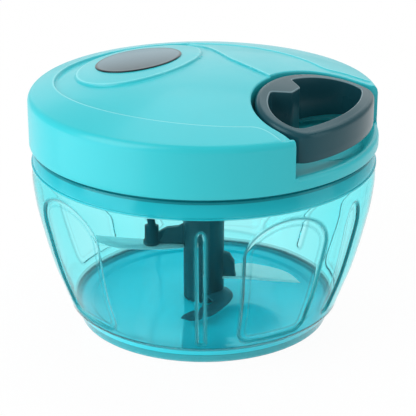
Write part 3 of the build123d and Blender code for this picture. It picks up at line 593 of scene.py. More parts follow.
def braided(name, colour):
    """Braided cord: two crossed sets of yarns, worked from the tube's own UV map."""
    finish = Finish(name, {"Roughness": 0.8, "Sheen Weight": 0.3})
    across, along, _ = finish.axes(finish.add("ShaderNodeUVMap", uv_map="run"))
    across, along = across * 6.0, along * 900.0
    left = (along + across).fraction() - 0.5
    right = (along - across).fraction() - 0.5
    yarn = (left * left + right * right) * 2.0
    # painted shade: darker in the grooves between the yarns
    finish.set({"Base Color": finish.mix(yarn.clamped(), colour, shaded(colour, 0.55))})
    finish.bump(1.0 - yarn, 0.6, 0.0002)
    return finish.material


def white_card(name):
    """Card that is seen white, by glass too, and still takes the object's shadow."""
    finish = Finish(name, {"Roughness": 0.6})
    finish.set({"Base Color": finish.mix(finish.noise(3.0), (0.86, 0.86, 0.86), (0.9, 0.9, 0.9))})
    seen, glossy, clear = finish.rays("Camera", "Glossy", "Transmission")
    finish.cover((seen + glossy).clamped() * 0.96 + clear * 0.15, finish.add("ShaderNodeEmission"))
    return finish.material


def axle_steel(look):
    """The bright steel that the bowl's pin and the drive share."""
    return bpy.data.materials.get("axle_steel") or ground_steel("axle_steel", look.steel_colour, 0.25)


# Pieces in the scene


def placed(name, data):
    """A new object in the scene."""
    piece = bpy.data.objects.new(name, data)
    bpy.context.scene.collection.objects.link(piece)
    return piece


def dress(piece, finish, body, nodes, smooth):
    """Merges a piece's doubles, shades it, gives it a finish and puts it on its body."""
    mesh = piece.data
    shape = bmesh.new()
    shape.from_mesh(mesh)
    bmesh.ops.remove_doubles(shape, verts=shape.verts, dist=0.002 * MM)
    shape.to_mesh(mesh)
    shape.free()
    mesh.polygons.foreach_set("use_smooth", [True] * len(mesh.polygons))
    mesh.set_sharp_from_angle(angle=math.radians(smooth))
    mesh.materials.clear()
    mesh.materials.append(finish)
    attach(piece, body)
    if nodes:
        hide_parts(*nodes)
    return piece


def meshed(name, points, faces):
    """A mesh from points in millimetres."""
    mesh = bpy.data.meshes.new(name)
    mesh.from_pydata((points * MM).tolist(), [], faces)
    mesh.update()
    return mesh


def solid(name, shape, finish, body, nodes, smooth):
    """A closed piece, from points, faces and any marks of painted light along its edges, that stands for CAD
    nodes.
    """
    points, faces, *edges = shape
    mesh = meshed(name, points, faces)
    if edges:
        mesh.attributes.new("edge", "FLOAT", "POINT").data.foreach_set("value", edges[0])
    return dress(placed(name, mesh), finish, body, nodes, smooth)


def polished(node, finish, body):
    """A merged, smooth-shaded copy of a CAD node that stands in its place."""
    return dress(placed(node + "_finished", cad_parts[node].data.copy()), finish, body, (node,), 30.0)


def grown(name, tree, finish, body, nodes=(), base=None):
    """Runs a geometry tree on an object and keeps the plain mesh that comes out."""
    carrier = placed(name + "_base", base or bpy.data.meshes.new(name + "_base"))
    carrier.modifiers.new(name, "NODES").node_group = tree
    mesh = bpy.data.meshes.new_from_object(carrier.evaluated_get(bpy.context.evaluated_depsgraph_get()))
    bpy.data.objects.remove(carrier)
    return dress(placed(name, mesh), finish, body, nodes, 30.0)


# Rows, lines and faces


def around(turns):
    """Points of the unit circle."""
    return np.column_stack([np.cos(turns), np.sin(turns)])


def row(plan, z):
    """Points over a plan line, at one height or at a height for each."""
    return np.column_stack([plan, np.broadcast_to(z, len(plan))])


def shares(count):
    """Even shares up to 1, without the 0."""
    return np.linspace(0, 1, count + 1)[1:]


def quarter(count):
    """Steps of a quarter turn: how far each has gone across and along, from 0 to 1."""
    turns = np.linspace(0, math.pi / 2, count + 1)[1:]
    return list(zip(1 - np.cos(turns), np.sin(turns)))


def straight(begin, end, ways):
    """Rows at shares of the way from one row to another."""
    return [begin + (end - begin) * way for way in ways]


def rounded(begin, end, count, level_first=False):
    """Rows of a quarter round from one row to another, which it leaves level or upright."""
    return straight(begin, end, [(v, v, u) if level_first else (u, u, v) for u, v in quarter(count)])


def grid_faces(rows, columns, wrap_rows=False, wrap_columns=False):
    """Quads of a grid whose points run row by row."""
    faces = []
    for number in range(rows - (not wrap_rows)):
        low, high = number * columns, (number + 1) % rows * columns
        for left in range(columns - (not wrap_columns)):
            right = (left + 1) % columns
            faces.append((low + left, low + right, high + right, high + left))
    return faces


def bar_faces(rows, columns):
    """Faces round a bar whose section is closed, with one at each end."""
    first = [number * columns for number in range(rows)]
    last = [number + columns - 1 for number in first]
    return grid_faces(rows, columns, wrap_rows=True) + [first, last[::-1]]


def capped(rows, columns, first, last):
    """Rows that close round, with a fan of faces to a middle point at each end."""
    points = np.vstack([*rows, [first, last]])
    faces = grid_faces(len(rows), columns, wrap_columns=True)
    top, middle = (len(rows) - 1) * columns, len(rows) * columns
    for left in range(columns):
        right = (left + 1) % columns
        faces += [(middle, right, left), (top + left, top + right, middle + 1)]
    return points, faces


def smooth_step(value):
    """0 below 0, 1 above 1, and an even bend between."""
    bend = np.clip(value, 0, 1)
    return bend * bend * (3 - 2 * bend)


def run_of(line):
    """Length along a line up to each of its points."""
    return np.concatenate([[0], np.cumsum(np.linalg.norm(np.diff(line, axis=0), axis=1))])


def resample(line, count, closed=False):
    """Points at even steps along a line."""
    line = np.vstack([line, line[:1]]) if closed else np.asarray(line, float)
    run = run_of(line)
    steps = np.linspace(0, run[-1], count, endpoint=not closed)
    return np.column_stack([np.interp(steps, run, values) for values in line.T])


def softened(line, passes, closed=True):
    """A line with its corners eased by averaging neighbours."""
    for _ in range(passes):
        if closed:
            line = (np.roll(line, 1, 0) + 2 * line + np.roll(line, -1, 0)) / 4
        else:
            line[1:-1] = (line[:-2] + 2 * line[1:-1] + line[2:]) / 4
    return line


def curve_through(points, steps=24):
    """A smooth line through points, each stretch bent by its neighbours."""
    points = np.asarray(points, float)
    padded = np.vstack([2 * points[0] - points[1], points, 2 * points[-1] - points[-2]])
    share = np.linspace(0, 1, steps, endpoint=False)[:, None]
    runs = []
    for a, b, c, d in zip(padded, padded[1:], padded[2:], padded[3:]):
        runs.append(0.5 * (2 * b + (c - a) * share + (2 * a - 5 * b + 4 * c - d) * share**2
                           + (3 * b - a - 3 * c + d) * share**3))
    return np.vstack(runs + [points[-1:]])


def arc_through(a, b, c, count):
    """Points of the circle through three points, from the last to the first."""
    twice = 2 * (a[0] * (b[1] - c[1]) + b[0] * (c[1] - a[1]) + c[0] * (a[1] - b[1]))
    centre = np.array([
        (a @ a * (b[1] - c[1]) + b @ b * (c[1] - a[1]) + c @ c * (a[1] - b[1])) / twice,
        (a @ a * (c[0] - b[0]) + b @ b * (a[0] - c[0]) + c @ c * (b[0] - a[0])) / twice,
    ])
    first, last = (math.atan2(*(end - centre)[::-1]) for end in (a, c))
    return centre + np.linalg.norm(a - centre) * around(np.linspace(last, first, count))


def across_line(along):
    """Unit vectors a quarter turn to the left of a line's run."""
    normal = np.column_stack([-along[:, 1], along[:, 0]])
    return normal / np.linalg.norm(normal, axis=1)[:, None]


def distance_to(line, x, y):
    """Distance in plan from points to the points of a line."""
    best = np.full(x.shape, np.inf)
    for px, py in line:
        best = np.minimum(best, (x - px) ** 2 + (y - py) ** 2)
    return np.sqrt(best)


def inside_oval(x, y, centre_x, half_x, half_y):
    """Distance inside an ellipse's edge, true near the edge."""
    level = np.sqrt(((x - centre_x) / half_x) ** 2 + (y / half_y) ** 2) + 1e-9
    slope = np.sqrt(((x - centre_x) / half_x**2) ** 2 + (y / half_y**2) ** 2) / level + 1e-9
    return (1 - level) / slope


# Lid

dome_sphere_r = (lid_r**2 + dome_sag**2) / (2 * dome_sag)
dome_centre_z = dome_top_z - dome_sphere_r
shoulder_in = lid_r - shoulder_r
shoulder_z = dome_centre_z + math.sqrt((dome_sphere_r - shoulder_r) ** 2 - shoulder_in**2)
shoulder_end = shoulder_in * dome_sphere_r / (dome_sphere_r - shoulder_r)


def dome_z(r, depth=0.0):
    """Height of the shell that lies a depth under the dome."""
    return dome_centre_z + np.sqrt(np.maximum((dome_sphere_r - depth) ** 2 - r**2, 0))


def shell_z(r):
    """Height of the dome with its rounded shoulder."""
    bend = shoulder_z + np.sqrt(np.maximum(shoulder_r**2 - (r - shoulder_in) ** 2, 0))
    return np.where(r < shoulder_end, dome_z(r), bend)


def pocket_line(grow, reach, count):
    """Plan of the pocket's wall from one end on the drum, round the nose, to the other."""
    half_x, half_y = pocket_a + grow, pocket_b + grow
    start = np.array([pocket_cx - flare_in, half_y * math.sqrt(1 - (flare_in / half_x) ** 2)])
    flare = arc_through(start, start + flare_mid, start + flare_end, 120)
    lead = math.atan2(start[1] / half_y, (start[0] - pocket_cx) / half_x)
    oval = (pocket_cx, 0) + (half_x, half_y) * around(np.linspace(lead, math.pi, 240)[1:])
    upper = np.vstack([flare, oval])
    both = resample(np.vstack([upper, upper[-2::-1] * (1, -1)]), pocket_points)
    line = softened(both, pocket_passes, closed=False)
    r = np.hypot(*line.T)
    within = np.flatnonzero(r < reach)
    ends = []
    for near, far in ((within[0], within[0] - 1), (within[-1], within[-1] + 1)):
        share = (reach - r[near]) / (r[far] - r[near])
        ends.append(line[near] + (line[far] - line[near]) * share)
    return resample(np.vstack([ends[0], line[within], ends[1]]), count)


def dome_sink(look, x, y, wall_line):
    """How far each point of the dome is pressed in, and where the painted highlights along the steps' upper
    edges run.
    """
    width, panel, leaf, pad = (
        value / MM for value in (look.step_width, look.panel_depth, look.leaf_depth, look.pad_height))
    in_oval = inside_oval(x, y - panel_cy, 0.0, panel_a, panel_b)
    in_arm = panel_margin - distance_to(wall_line[::3], x, y)
    joint = np.clip(panel_joint_w - np.abs(in_oval - in_arm), 0, None)
    in_panel = np.maximum(in_oval, in_arm) + joint**2 / (4 * panel_joint_w)
    curl = curve_through([(leaf_a * sx, leaf_b * sy) for sx, sy in leaf_shares], 12)
    in_leaf = np.where(y > np.interp(x, *curl.T), 1.0, -1.0) * distance_to(curl, x, y)
    in_pad = inside_oval(x, y, pad_cx, pad_a, pad_b)
    in_seat = inside_oval(x, y, badge_cx, badge_a, badge_b) - badge_seat_edge[0]
    panel_share, leaf_share, pad_share = (
        smooth_step(value / width + 0.5) for value in (in_panel, in_leaf, in_pad))
    sink = panel_share * (panel - (panel - leaf) * leaf_share)
    sink = sink - pad_share * (sink - (panel - pad))
    sink = sink + smooth_step(in_seat / badge_seat_edge[1] + 0.5) * (badge_t - badge_proud + badge_seat_gap)
    # painted highlight lines along the steps' upper edges, where light would catch them
    brow = width / 2
    painted_highlights = np.maximum.reduce([
        1 - np.abs(in_panel + brow) / painted_highlight_w,
        1 - np.abs(in_pad - brow) / painted_highlight_w,
        (1 - np.abs(in_leaf - brow) / painted_highlight_w) * panel_share * (1 - pad_share),
    ])
    kept = 1 - smooth_step((np.hypot(x, y) - shoulder_end + shoulder_clear) / shoulder_fade_w)
    return sink * kept, np.clip(painted_highlights * kept, 0, 1)


def lid_meeting_line():
    """Where each column meets the pocket's wall and its turn on the drum, closer together beside the pad."""
    wall_line = pocket_line(0.0, lid_r, meeting_tries)
    corner = math.atan2(*wall_line[0, ::-1])
    turns = np.linspace(corner, TURN - corner, meeting_tries)
    x, y = lid_r * around(turns).T
    share = np.clip((pad_cx - x) / (wall_line[:, 0] - x), 0, 1)
    side_y = np.abs(y + (wall_line[:, 1] - y) * share)
    run = np.cumsum(1 + pad_crowd * (x < pad_cx) * np.exp(-((side_y - pad_b) / pad_crowd_w) ** 2))
    number = np.arange(meeting_tries)
    picks = np.interp(np.linspace(run[0], run[-1], lid_columns), run, number)
    x, y, turns = (np.interp(picks, number, values) for values in (*wall_line.T, turns))
    return np.column_stack([x, y]), turns


def dome_lines(look, start, stop, wall_line):
    """Rows over the dome, gathered where a column steps. A point's fourth value marks the painted highlights
    along the steps' upper edges.
    """
    ways = np.linspace(0, 1, dome_tries)
    x, y = (start[:, axis, None] + (stop - start)[:, axis, None] * ways for axis in (0, 1))
    sink, marks = dome_sink(look, x, y, wall_line)
    z = shell_z(np.minimum(np.hypot(x, y), lid_r)) - sink
    change = np.abs(np.gradient(z, axis=1))
    steep = np.maximum.reduce([np.roll(change, shift, 1) for shift in (-2, -1, 0, 1, 2)])
    length = np.linalg.norm(stop - start, axis=1)
    density = length[:, None] / dome_tries + dome_steepness * steep
    columns = []
    for column, crowd in enumerate(density):
        run = np.concatenate([[0], np.cumsum((crowd[1:] + crowd[:-1]) / 2)])
        picks = np.interp(np.linspace(0, run[-1], dome_rows), run, ways)
        picked = [np.interp(picks, ways, values[column]) for values in (x, y, z, marks)]
        columns.append(np.column_stack(picked))
    return np.array(columns).transpose(1, 0, 2)[1:]


def lid_shell(look):
    """Columns that run up the drum, over the dome, down the pocket, out over its floor and back inside."""
    wall_line, turns = lid_meeting_line()
    drum, out = around(turns), -across_line(np.gradient(wall_line, axis=0))
    number = np.arange(lid_columns)
    fade = smooth_step(np.minimum(number, number[::-1]) / corner_columns)
    bend, ledge = pocket_round * fade, ledge_round * fade
    straight_z, wall_foot_z = edge_z + edge_round, pocket_floor_z + pocket_foot

    # the drum's rows stand at the heights of the pocket's, so that the two meet point to point at the corners
    rows = [row(drum * (lid_r - edge_round), edge_z)]
    rows += rounded(rows[0], row(drum * lid_r, straight_z), 3, level_first=True)
    rows += [row(drum * lid_r, z) for z in (
        *(straight_z + (pocket_floor_z - straight_z) * shares(3)),
        *(pocket_floor_z + pocket_foot * across for across, _ in quarter(4)),
        *(wall_foot_z + (shoulder_z - wall_foot_z) * shares(6)),
    )]
    before = len(rows)
    tops = dome_lines(look, drum * lid_r, wall_line + out * bend[:, None], wall_line)
    rows += list(tops[:, :, :3])

    # pocket's edge and wall
    rows += rounded(rows[-1], row(wall_line, rows[-1][:, 2] - bend), 5, level_first=True)
    rows += straight(rows[-1], row(wall_line, wall_foot_z), shares(6))
    rows += rounded(rows[-1], row(wall_line - out * (pocket_foot * fade)[:, None], pocket_floor_z), 4)

    # its floor with the dish, and the ledge under the handle
    mouth = around(np.linspace(turns[0], -turns[0], lid_columns))
    for spot in straight(rows[-1][:, :2], mouth * (lid_r - ledge)[:, None], shares(32)):
        in_dish = dish_r - np.hypot(spot[:, 0] - dish_cx, spot[:, 1])
        rows.append(row(spot, pocket_floor_z - dish_depth * smooth_step(in_dish / dish_edge_w + 0.5)))
    rows += rounded(rows[-1], row(mouth * lid_r, rows[-1][:, 2] - ledge), 6, level_first=True)
    rows += straight(rows[-1], row(mouth * lid_r, straight_z), shares(3))
    rows += rounded(rows[-1], row(mouth * (lid_r - edge_round), edge_z), 3)

    # back round the inside of the shell
    inner_r = lid_r - drum_wall
    inner_line = pocket_line(pocket_wall, inner_r, lid_columns)
    corner = math.atan2(*inner_line[0, ::-1])
    inner_mouth, inner_drum = (
        inner_r * around(np.linspace(corner, end, lid_columns)) for end in (-corner, TURN - corner))
    under = pocket_floor_z - pocket_wall
    rows += [row(inner_mouth, edge_z), row(inner_mouth, under), row(inner_line, under)]
    for spot in straight(inner_line, inner_drum, (0, *shares(8))):
        rows.append(row(spot, dome_z(np.hypot(*spot.T), dome_wall)))
    rows += [row(inner_drum, under), row(inner_drum, edge_z)]

    # the dome's rows carry the marks of the painted highlights
    edges = np.zeros((len(rows), lid_columns))
    edges[before:before + len(tops)] = tops[:, :, 3]
    return np.vstack(rows), grid_faces(len(rows), lid_columns, wrap_rows=True), edges.ravel()


def badge_plate():
    """Oval plate with a rounded edge and a crowned face that follows the dome."""
    plan = around(np.linspace(0, TURN, badge_columns, endpoint=False))
    rows = []
    for grow, sunk in badge_profile:
        line = (badge_cx, 0) + (badge_a + grow, badge_b + grow) * plan
        rows.append(row(line, dome_z(np.hypot(*line.T)) - badge_base_sink - sunk))
    middle_z = dome_z(abs(badge_cx)) - badge_base_sink
    return capped(rows, badge_columns, *((badge_cx, 0, middle_z - sunk) for sunk in badge_middle))


def boss_tree(finish):
    """Screw bosses that hang from the dome, one over each screw."""
    growth = Growth("lid bosses", {
        "Boss radius": boss_r * MM, "Boss height": boss_l * MM, "Level": (edge_z + boss_lift) * MM,
    })
    height = growth.given("Boss height")
    post = growth.add("GeometryNodeMeshCylinder", {
        "Vertices": 28, "Side Segments": 3, "Radius": growth.given("Boss radius"), "Depth": height,
    }, "Mesh")
    spots = growth.add("GeometryNodeMeshToPoints", {"Mesh": growth.given("Geometry")})
    posts = growth.add("GeometryNodeInstanceOnPoints", {"Points": spots, "Instance": post})
    return growth.put_out(posts, growth.given("Level") + height * 0.5, finish)


# Bowl

wall_curve = curve_through([
    (ledge_z + (band_z - ledge_z) * up, ledge_r + (belly_r - ledge_r) * across)
    for up, across in bowl_wall_shares])


def wall_r(z):
    """Outer radius of the bowl's wall at a height."""
    return np.interp(z, *wall_curve.T)


def grip_half(grip, z):
    """Half a grip's width at a height."""
    share = np.clip((z - grip.foot_z) / (grip.spring_z - grip.foot_z), 0, 1)
    return (grip.foot_w + (grip.spring_w - grip.foot_w) * share) / 2


def inside_grip(across, z, grip):
    """Distance inside an arched recess whose sides spread upwards and whose lower corners are round."""
    if z > grip.spring_z:
        return inside_oval(across, z - grip.spring_z, 0.0, grip.spring_w / 2, grip.top_z - grip.spring_z)
    side, floor, corner = grip_half(grip, z) - np.abs(across), z - grip.foot_z, grip.corner
    rounded = corner - np.hypot(corner - np.minimum(side, corner), corner - min(floor, corner))
    low = np.where((side < corner) & (floor < corner), rounded, np.minimum(side, floor))
    return np.minimum(side, low) if z < grip.spring_z else side


def grip_sink(look, turns, z, r):
    """Depth of the grips at points of the wall, and where the painted shade lines along their edges and
    inside them run, fainter on the side away from the camera.
    """
    deepest = np.full(turns.shape, -FAR_OFF)
    for grip in grips:
        for place in np.radians(grip.turns):
            off = (turns - place + math.pi) % TURN - math.pi
            across = np.where(np.abs(off) < grip_reach, r * np.sin(off), FAR_OFF)
            deepest = np.maximum(deepest, inside_grip(across, z, grip))
    share = deepest / grip_edge_w
    # painted shade: a dark line along each grip's edge and a fainter one inside it, faded on the side away
    # from the camera
    outer = np.clip(1.2 - np.abs(share + 0.2) / 0.6, 0, 1)
    inner = np.clip(1 - np.abs(deepest - grip_shade_line_gap) / grip_shade_line_w, 0, 1)
    far_side = smooth_step((np.cos(turns - math.radians(camera_turn + 90)) + 0.1) / 0.5)
    marks = np.maximum(outer, grip_inner_shade_share * inner) * (1 - grip_far_shade_fade * far_side)
    return look.grip_depth / MM * smooth_step(share + 0.5), marks


def wall_turns(z):
    """Turns of the wall's columns at a height, which follow the grips' sides and crowd there."""
    sides = []
    for grip in grips:
        nominal = grip.spring_w / 2 / belly_r
        shift = math.asin(grip_half(grip, z) / wall_r(z)) - nominal
        for place in np.radians(grip.turns):
            sides += [((place + way * nominal) % TURN, way * shift) for way in (-1, 1)]
    keys, shifts = np.array(sorted(sides)).T
    tries = np.linspace(0, TURN, turn_tries + 1)
    near = np.abs((tries[:-1, None] - keys + math.pi) % TURN - math.pi).min(axis=1)
    run = np.concatenate([[0], np.cumsum(1.0 + grip_crowd * (near < grip_crowd_w / belly_r))])
    turns = np.interp(np.linspace(0, run[-1], bowl_columns, endpoint=False), run, tries)
    return turns + np.interp(turns, np.concatenate([keys - TURN, keys, keys + TURN]), np.tile(shifts, 3))


def bowl_shell(look):
    """Rows round the bowl, from under its floor out over the foot, up the wall and down the inside."""
    even = around(np.linspace(0, TURN, bowl_columns, endpoint=False))
    foot_in_r = foot_r - foot_w
    lip_low, lip_top = ledge_z - lip_h, band_z + lip_h
    inner_r = rim_r - bowl_wall
    rows = [row(even * r, z) for r, z in (
        (pin_boss_r, floor_gap - pin_boss_h), (pin_boss_r, floor_gap), (foot_in_r - bevel, floor_gap),
        (foot_in_r, floor_gap - bevel), (foot_in_r, small_bevel), (foot_in_r + small_bevel, 0),
        (foot_r - bevel, 0), (foot_r - hair, 1.5 * hair), (foot_r, bevel + hair),
        (foot_top_r - hair / 2, foot_h - small_bevel), (foot_top_r + small_bevel, foot_h + hair),
        (ledge_r - bevel - hair, lip_low), (ledge_r - hair, lip_low + small_bevel),
    )]
    before = len(rows)
    lines = []
    for z in np.interp(np.arange(sum(wall_counts) + 1), np.cumsum([0, *wall_counts]), wall_stops):
        turns = wall_turns(z)
        sink, marks = grip_sink(look, turns, z, wall_r(z))
        rows.append(row(around(turns) * (wall_r(z) - sink)[:, None], z))
        lines.append(marks)
    step_r, step_z = floor_r + floor_step_w, floor_z + floor_step_h
    bend_z = step_z + floor_bend_r
    bend_r = wall_r(bend_z) - bowl_wall
    rows += [row(even * r, z) for r, z in (
        (lip_r - 1.5 * hair, band_z + hair / 5), (lip_r, band_z + lip_bevel), (lip_r, lip_top - lip_bevel),
        (lip_r - lip_bevel, lip_top), (rim_r + hair, lip_top), (rim_r, lip_top + 1.5 * hair),
        (rim_r, bowl_h - rim_bevel), (rim_r - rim_bevel, bowl_h), (inner_r + rim_bevel, bowl_h),
        (inner_r, bowl_h - rim_bevel), (inner_r, band_z + 3 * lip_bevel),
        *((wall_r(z) - bowl_wall, z) for z in np.linspace(band_z, bend_z, 26)),
        *((bend_r - floor_bend_r * across, bend_z - floor_bend_r * along) for across, along in quarter(8)),
        (step_r + 1.5 * hair, step_z), (step_r - hair, step_z - hair),
        (floor_r + 1.5 * hair, floor_z + 0.6 * hair), (floor_r, floor_z), (floor_r / 2, floor_z),
        (pin_r, floor_z), (pin_r, floor_z - pin_seat),
    )]
    points, faces = capped(rows, bowl_columns, (0, 0, floor_gap - pin_boss_h), (0, 0, floor_z - pin_seat))
    # marks of the grips' painted shade lines, for the bowl's material
    edges = np.zeros(len(points))
    edges[before * bowl_columns:(before + len(lines)) * bowl_columns] = np.concatenate(lines)
    return points, faces, edges


def ramp_wedges():
    """The bayonet's ramps on the inside of the rim."""
    points, faces = [], []
    outer = rim_r - bowl_wall + ramp_weld
    high = bowl_h - ramp_drop
    number = np.arange(ramp_columns)
    reach = np.minimum(1, np.minimum(number, number[::-1]) / 2.0) * (ramp_reach + ramp_weld)
    profile = ((0, high - ramp_t), (1, high - ramp_t + hair), (1, high - lip_bevel), (0.8, high), (0, high))
    wedge = bar_faces(len(profile), ramp_columns)
    for place in ramp_turns:
        plan = around(np.radians(np.linspace(place, place + ramp_span, ramp_columns)))
        base = len(points) * ramp_columns
        points += [row(plan * (outer - reach * inset)[:, None], z) for inset, z in profile]
        faces += [[base + index for index in face[::-1]] for face in wedge]
    return np.vstack(points), faces


# Handle


def ring_outline(half_x, half_y, reach, bend):
    """Plan of the handle's outside or of its hole: an oval that a circle about the lid's axis cuts."""
    turns = np.linspace(0, TURN, outline_count, endpoint=False)
    x, y = around(turns).T
    oval = 1 / np.sqrt((x / half_x) ** 2 + (y / half_y) ** 2)
    straight = half_y / np.maximum(np.abs(y), 1e-6)
    wide = np.where(x > 0, straight, oval)
    cut = -pocket_cx * x + np.sqrt(reach**2 - (pocket_cx * y) ** 2)
    r = (wide**-bend + cut**-bend) ** (-1 / bend)
    return (pocket_cx, 0) + around(turns) * r[:, None]


def from_nose(line):
    """Even points of a closed line, counter-clockwise from the nose, and their unit vectors inwards."""
    start = int(np.argmin(np.abs(line[:, 1]) + np.where(line[:, 0] > pocket_cx, FAR_OFF, 0)))
    line = resample(np.roll(line, -start, axis=0), handle_columns, closed=True)
    return line, across_line(np.roll(line, -1, 0) - np.roll(line, 1, 0))


def crown_z(plan):
    """Height of the handle's top over points of the plan."""
    return dome_top_z - crown_drop - crown_sag * (plan**2).sum(axis=1) / lid_r**2


def hole_outline():
    """Plan of the handle's hole, with room left for the tab that holds the cord."""
    hole = ring_outline(handle_a - hole_nose_w, handle_b - hole_side_w, handle_r - hole_wall, hole_bend)
    slant = (tab_root_w - tab_tip_w) / 2 / (tab_reach - hole_nose_w / 2)
    beside = np.maximum(np.abs(hole[:, 1]) - tab_tip_w / 2, 0)
    room = handle_nose_x + tab_reach - hole[:, 0] - beside / slant
    under_tab = (room > 0) & (hole[:, 0] < pocket_cx)
    hole[under_tab, 0] += room[under_tab]
    return softened(resample(hole, outline_count, closed=True), hole_passes)


def handle_ring():
    """Loops of points round the handle's section: outside, top, hole and underside."""
    outer, inward = from_nose(ring_outline(handle_a, handle_b, handle_r, outer_bend))
    hole, hole_in = from_nose(hole_outline())
    low_z = handle_z + underside_lift
    side_z = low_z + under_round
    side_shares = (0.33, 0.66, 1.0)

    rows = [row(outer + inward * under_round, low_z)]
    rows += rounded(rows[0], row(outer, side_z), 3, level_first=True)
    brow_line = outer + inward * top_round
    brow_z = crown_z(brow_line)
    rows += straight(rows[-1], row(outer, brow_z - top_round), side_shares)
    rows += rounded(rows[-1], row(brow_line, brow_z), 8)
    for spot in straight(brow_line, hole - hole_in * hole_round, shares(8)):
        rows.append(row(spot, crown_z(spot)))
    before = len(rows)
    rows += rounded(rows[-1], row(hole, rows[-1][:, 2] - hole_round), 6, level_first=True)
    rows += straight(rows[-1], row(hole, side_z), side_shares)
    rows += rounded(rows[-1], row(hole - hole_in * under_round, low_z), 3)
    # the hole's upper round carries a painted highlight
    edges = np.zeros((len(rows), handle_columns))
    edges[before:before + handle_highlight_rows] = 1.0
    return np.vstack(rows), grid_faces(len(rows), handle_columns, True, True), edges.ravel()


# Blades


def blade_solid(blade, low_z, grind):
    """A flat blade with a ground edge: rows run from its back to its cutting edge."""
    lines = []
    for side, part in ((-1, blade.back), (1, blade.front)):
        root = (blade_root_r, side * blade_root_w / 2)
        lines.append(curve_through([root, *(np.array(part) * (blade.length, blade.width))]))
    back, front = (resample(line, blade_points) for line in lines)
    chord = np.linalg.norm(front - back, axis=1)
    above, under = [], []
    for share in blade_shares:
        spot = back + (front - back) * share
        drop = (blade_t - blade_edge_t) * (1 - np.clip(chord * (1 - share) / grind, 0, 1))
        top_ease, low_ease = (ease * (share == 0) for ease in blade_back_round)
        above.append(row(spot, low_z + blade_t - drop - top_ease))
        under.append(row(spot, low_z + low_ease))
    points = np.vstack(above + under[::-1])
    c, s = around(math.radians(blade.turn))[0]
    points[:, :2] = points[:, :2] @ [(c, s), (-s, c)]
    return points, bar_faces(2 * len(blade_shares), blade_points)


# Cord


def tube(line, sides, name, finish):
    """The cord's tube along a line, closed at its ends, with its own UV map of turn and length."""
    along = np.gradient(line, axis=0)
    along /= np.linalg.norm(along, axis=1)[:, None]
    side = np.cross(along, (0.0, 0.0, 1.0))
    side /= np.linalg.norm(side, axis=1)[:, None]
    up = np.cross(side, along)
    plan = cord_r * around(np.linspace(0, TURN, sides, endpoint=False))
    rows = [spot + plan @ [right, over] for spot, right, over in zip(line, side, up)]
    points, faces = capped(rows, sides, line[0], line[-1])
    mesh = meshed(name, points, [face[::-1] for face in faces])
    ends = len(rows) * sides
    lengths = np.concatenate([np.repeat(run_of(line), sides), [0, run_of(line)[-1]]]) * MM
    layer = mesh.uv_layers.new(name="run")
    for polygon in mesh.polygons:
        numbers = [mesh.loops[k].vertex_index for k in polygon.loop_indices]
        turns = [number % sides / sides if number < ends else 0.0 for number in numbers]
        seam = max(turns) - min(turns) > 0.5
        for loop, number, turn in zip(polygon.loop_indices, numbers, turns):
            layer.data[loop].uv = (turn + (seam and turn < 0.5), lengths[number])
    mesh.polygons.foreach_set("use_smooth", [True] * len(mesh.polygons))
    mesh.materials.append(finish)
    return placed(name, mesh)


def winding_tree(finish):
    """Cord turns that climb round the spool's drum."""
    low, high = node_box("cord_winding")
    growth = Growth("cord turns", {
        "Turns": cord_turns, "Drum radius": (high[0] - cord_r) * MM, "Cord radius": cord_r * MM,
        "Height": (high[2] - low[2] - 2 * cord_r) * MM, "Level": (low[2] + cord_r) * MM,
    })
    spiral = growth.add("GeometryNodeCurveSpiral", {
        "Resolution": 64, "Rotations": growth.given("Turns"), "Start Radius": growth.given("Drum radius"),
        "End Radius": growth.given("Drum radius"), "Height": growth.given("Height"),
    })
    section = growth.add("GeometryNodeCurvePrimitiveCircle", {
        "Resolution": 16, "Radius": growth.given("Cord radius"),
    })
    wound = growth.add("GeometryNodeCurveToMesh", {
        "Curve": spiral, "Profile Curve": section, "Fill Caps": True,
    })
    return growth.put_out(wound, growth.given("Level"), finish)


# Stage


def seen_from(turn, rise, away):
    """A place round the object, its turn counted from the camera's side, to the right."""
    side, up = math.radians(camera_turn + turn), math.radians(rise)
    level = away * math.cos(up)
    return Vector((level * math.sin(side), -level * math.cos(side), away * math.sin(up)))


def aimed(name, data, place, aim):
    """A lamp or a camera that looks from a place at another."""
    holder = placed(name, data)
    holder.location = place
    holder.rotation_euler = (aim - place).to_track_quat("-Z", "Y").to_euler()
    return holder


# Operators


class CHOPPER_OT_stage(bpy.types.Operator):
    """Builds the pale floor, the soft lights and the camera"""

    bl_idname = "chopper.stage"
    bl_label = "Stage"

    def execute(self, context):
        scene = context.scene
        scene.view_settings.view_transform = "Standard"
        mesh = bpy.data.meshes.new("floor")
        corners = [(x * card_half, y * card_half, 0) for x, y in ((-1, -1), (1, -1), (1, 1), (-1, 1))]
        mesh.from_pydata(corners, [], [(0, 1, 2, 3)])
        mesh.materials.append(white_card("floor_card"))
        placed("floor", mesh)

        scene.world = bpy.data.worlds.new("studio")
        scene.world.use_nodes = True
        sky = Graph(scene.world.node_tree)
        seen, clear = sky.rays("Camera", "Transmission")
        glow = 0.5 + (seen + clear).clamped() * 0.5
        sky.fill(sky.tree.nodes["Background"], {"Color": (1, 1, 1), "Strength": glow})

        for name, lamp in lamps.items():
            light = bpy.data.lights.new(name, "AREA")
            light.shape = "RECTANGLE"
            light.size, light.size_y = lamp.size
            light.energy = lamp.power
            aimed(name, light, seen_from(lamp.turn, lamp.rise, lamp.away), Vector((0, 0, lamp_aim_z * MM)))

        camera = bpy.data.cameras.new("camera")
        camera.lens = camera_lens
        camera.sensor_width = 36.0
        camera.shift_x = (photo_px / 2 - axis_px) / photo_px
        camera.clip_start = 0.01
        aim = Vector((0, 0, camera_aim_z * MM))
        scene.camera = aimed("camera", camera, aim + seen_from(0, camera_rise, camera_away * MM), aim)
        return {"FINISHED"}


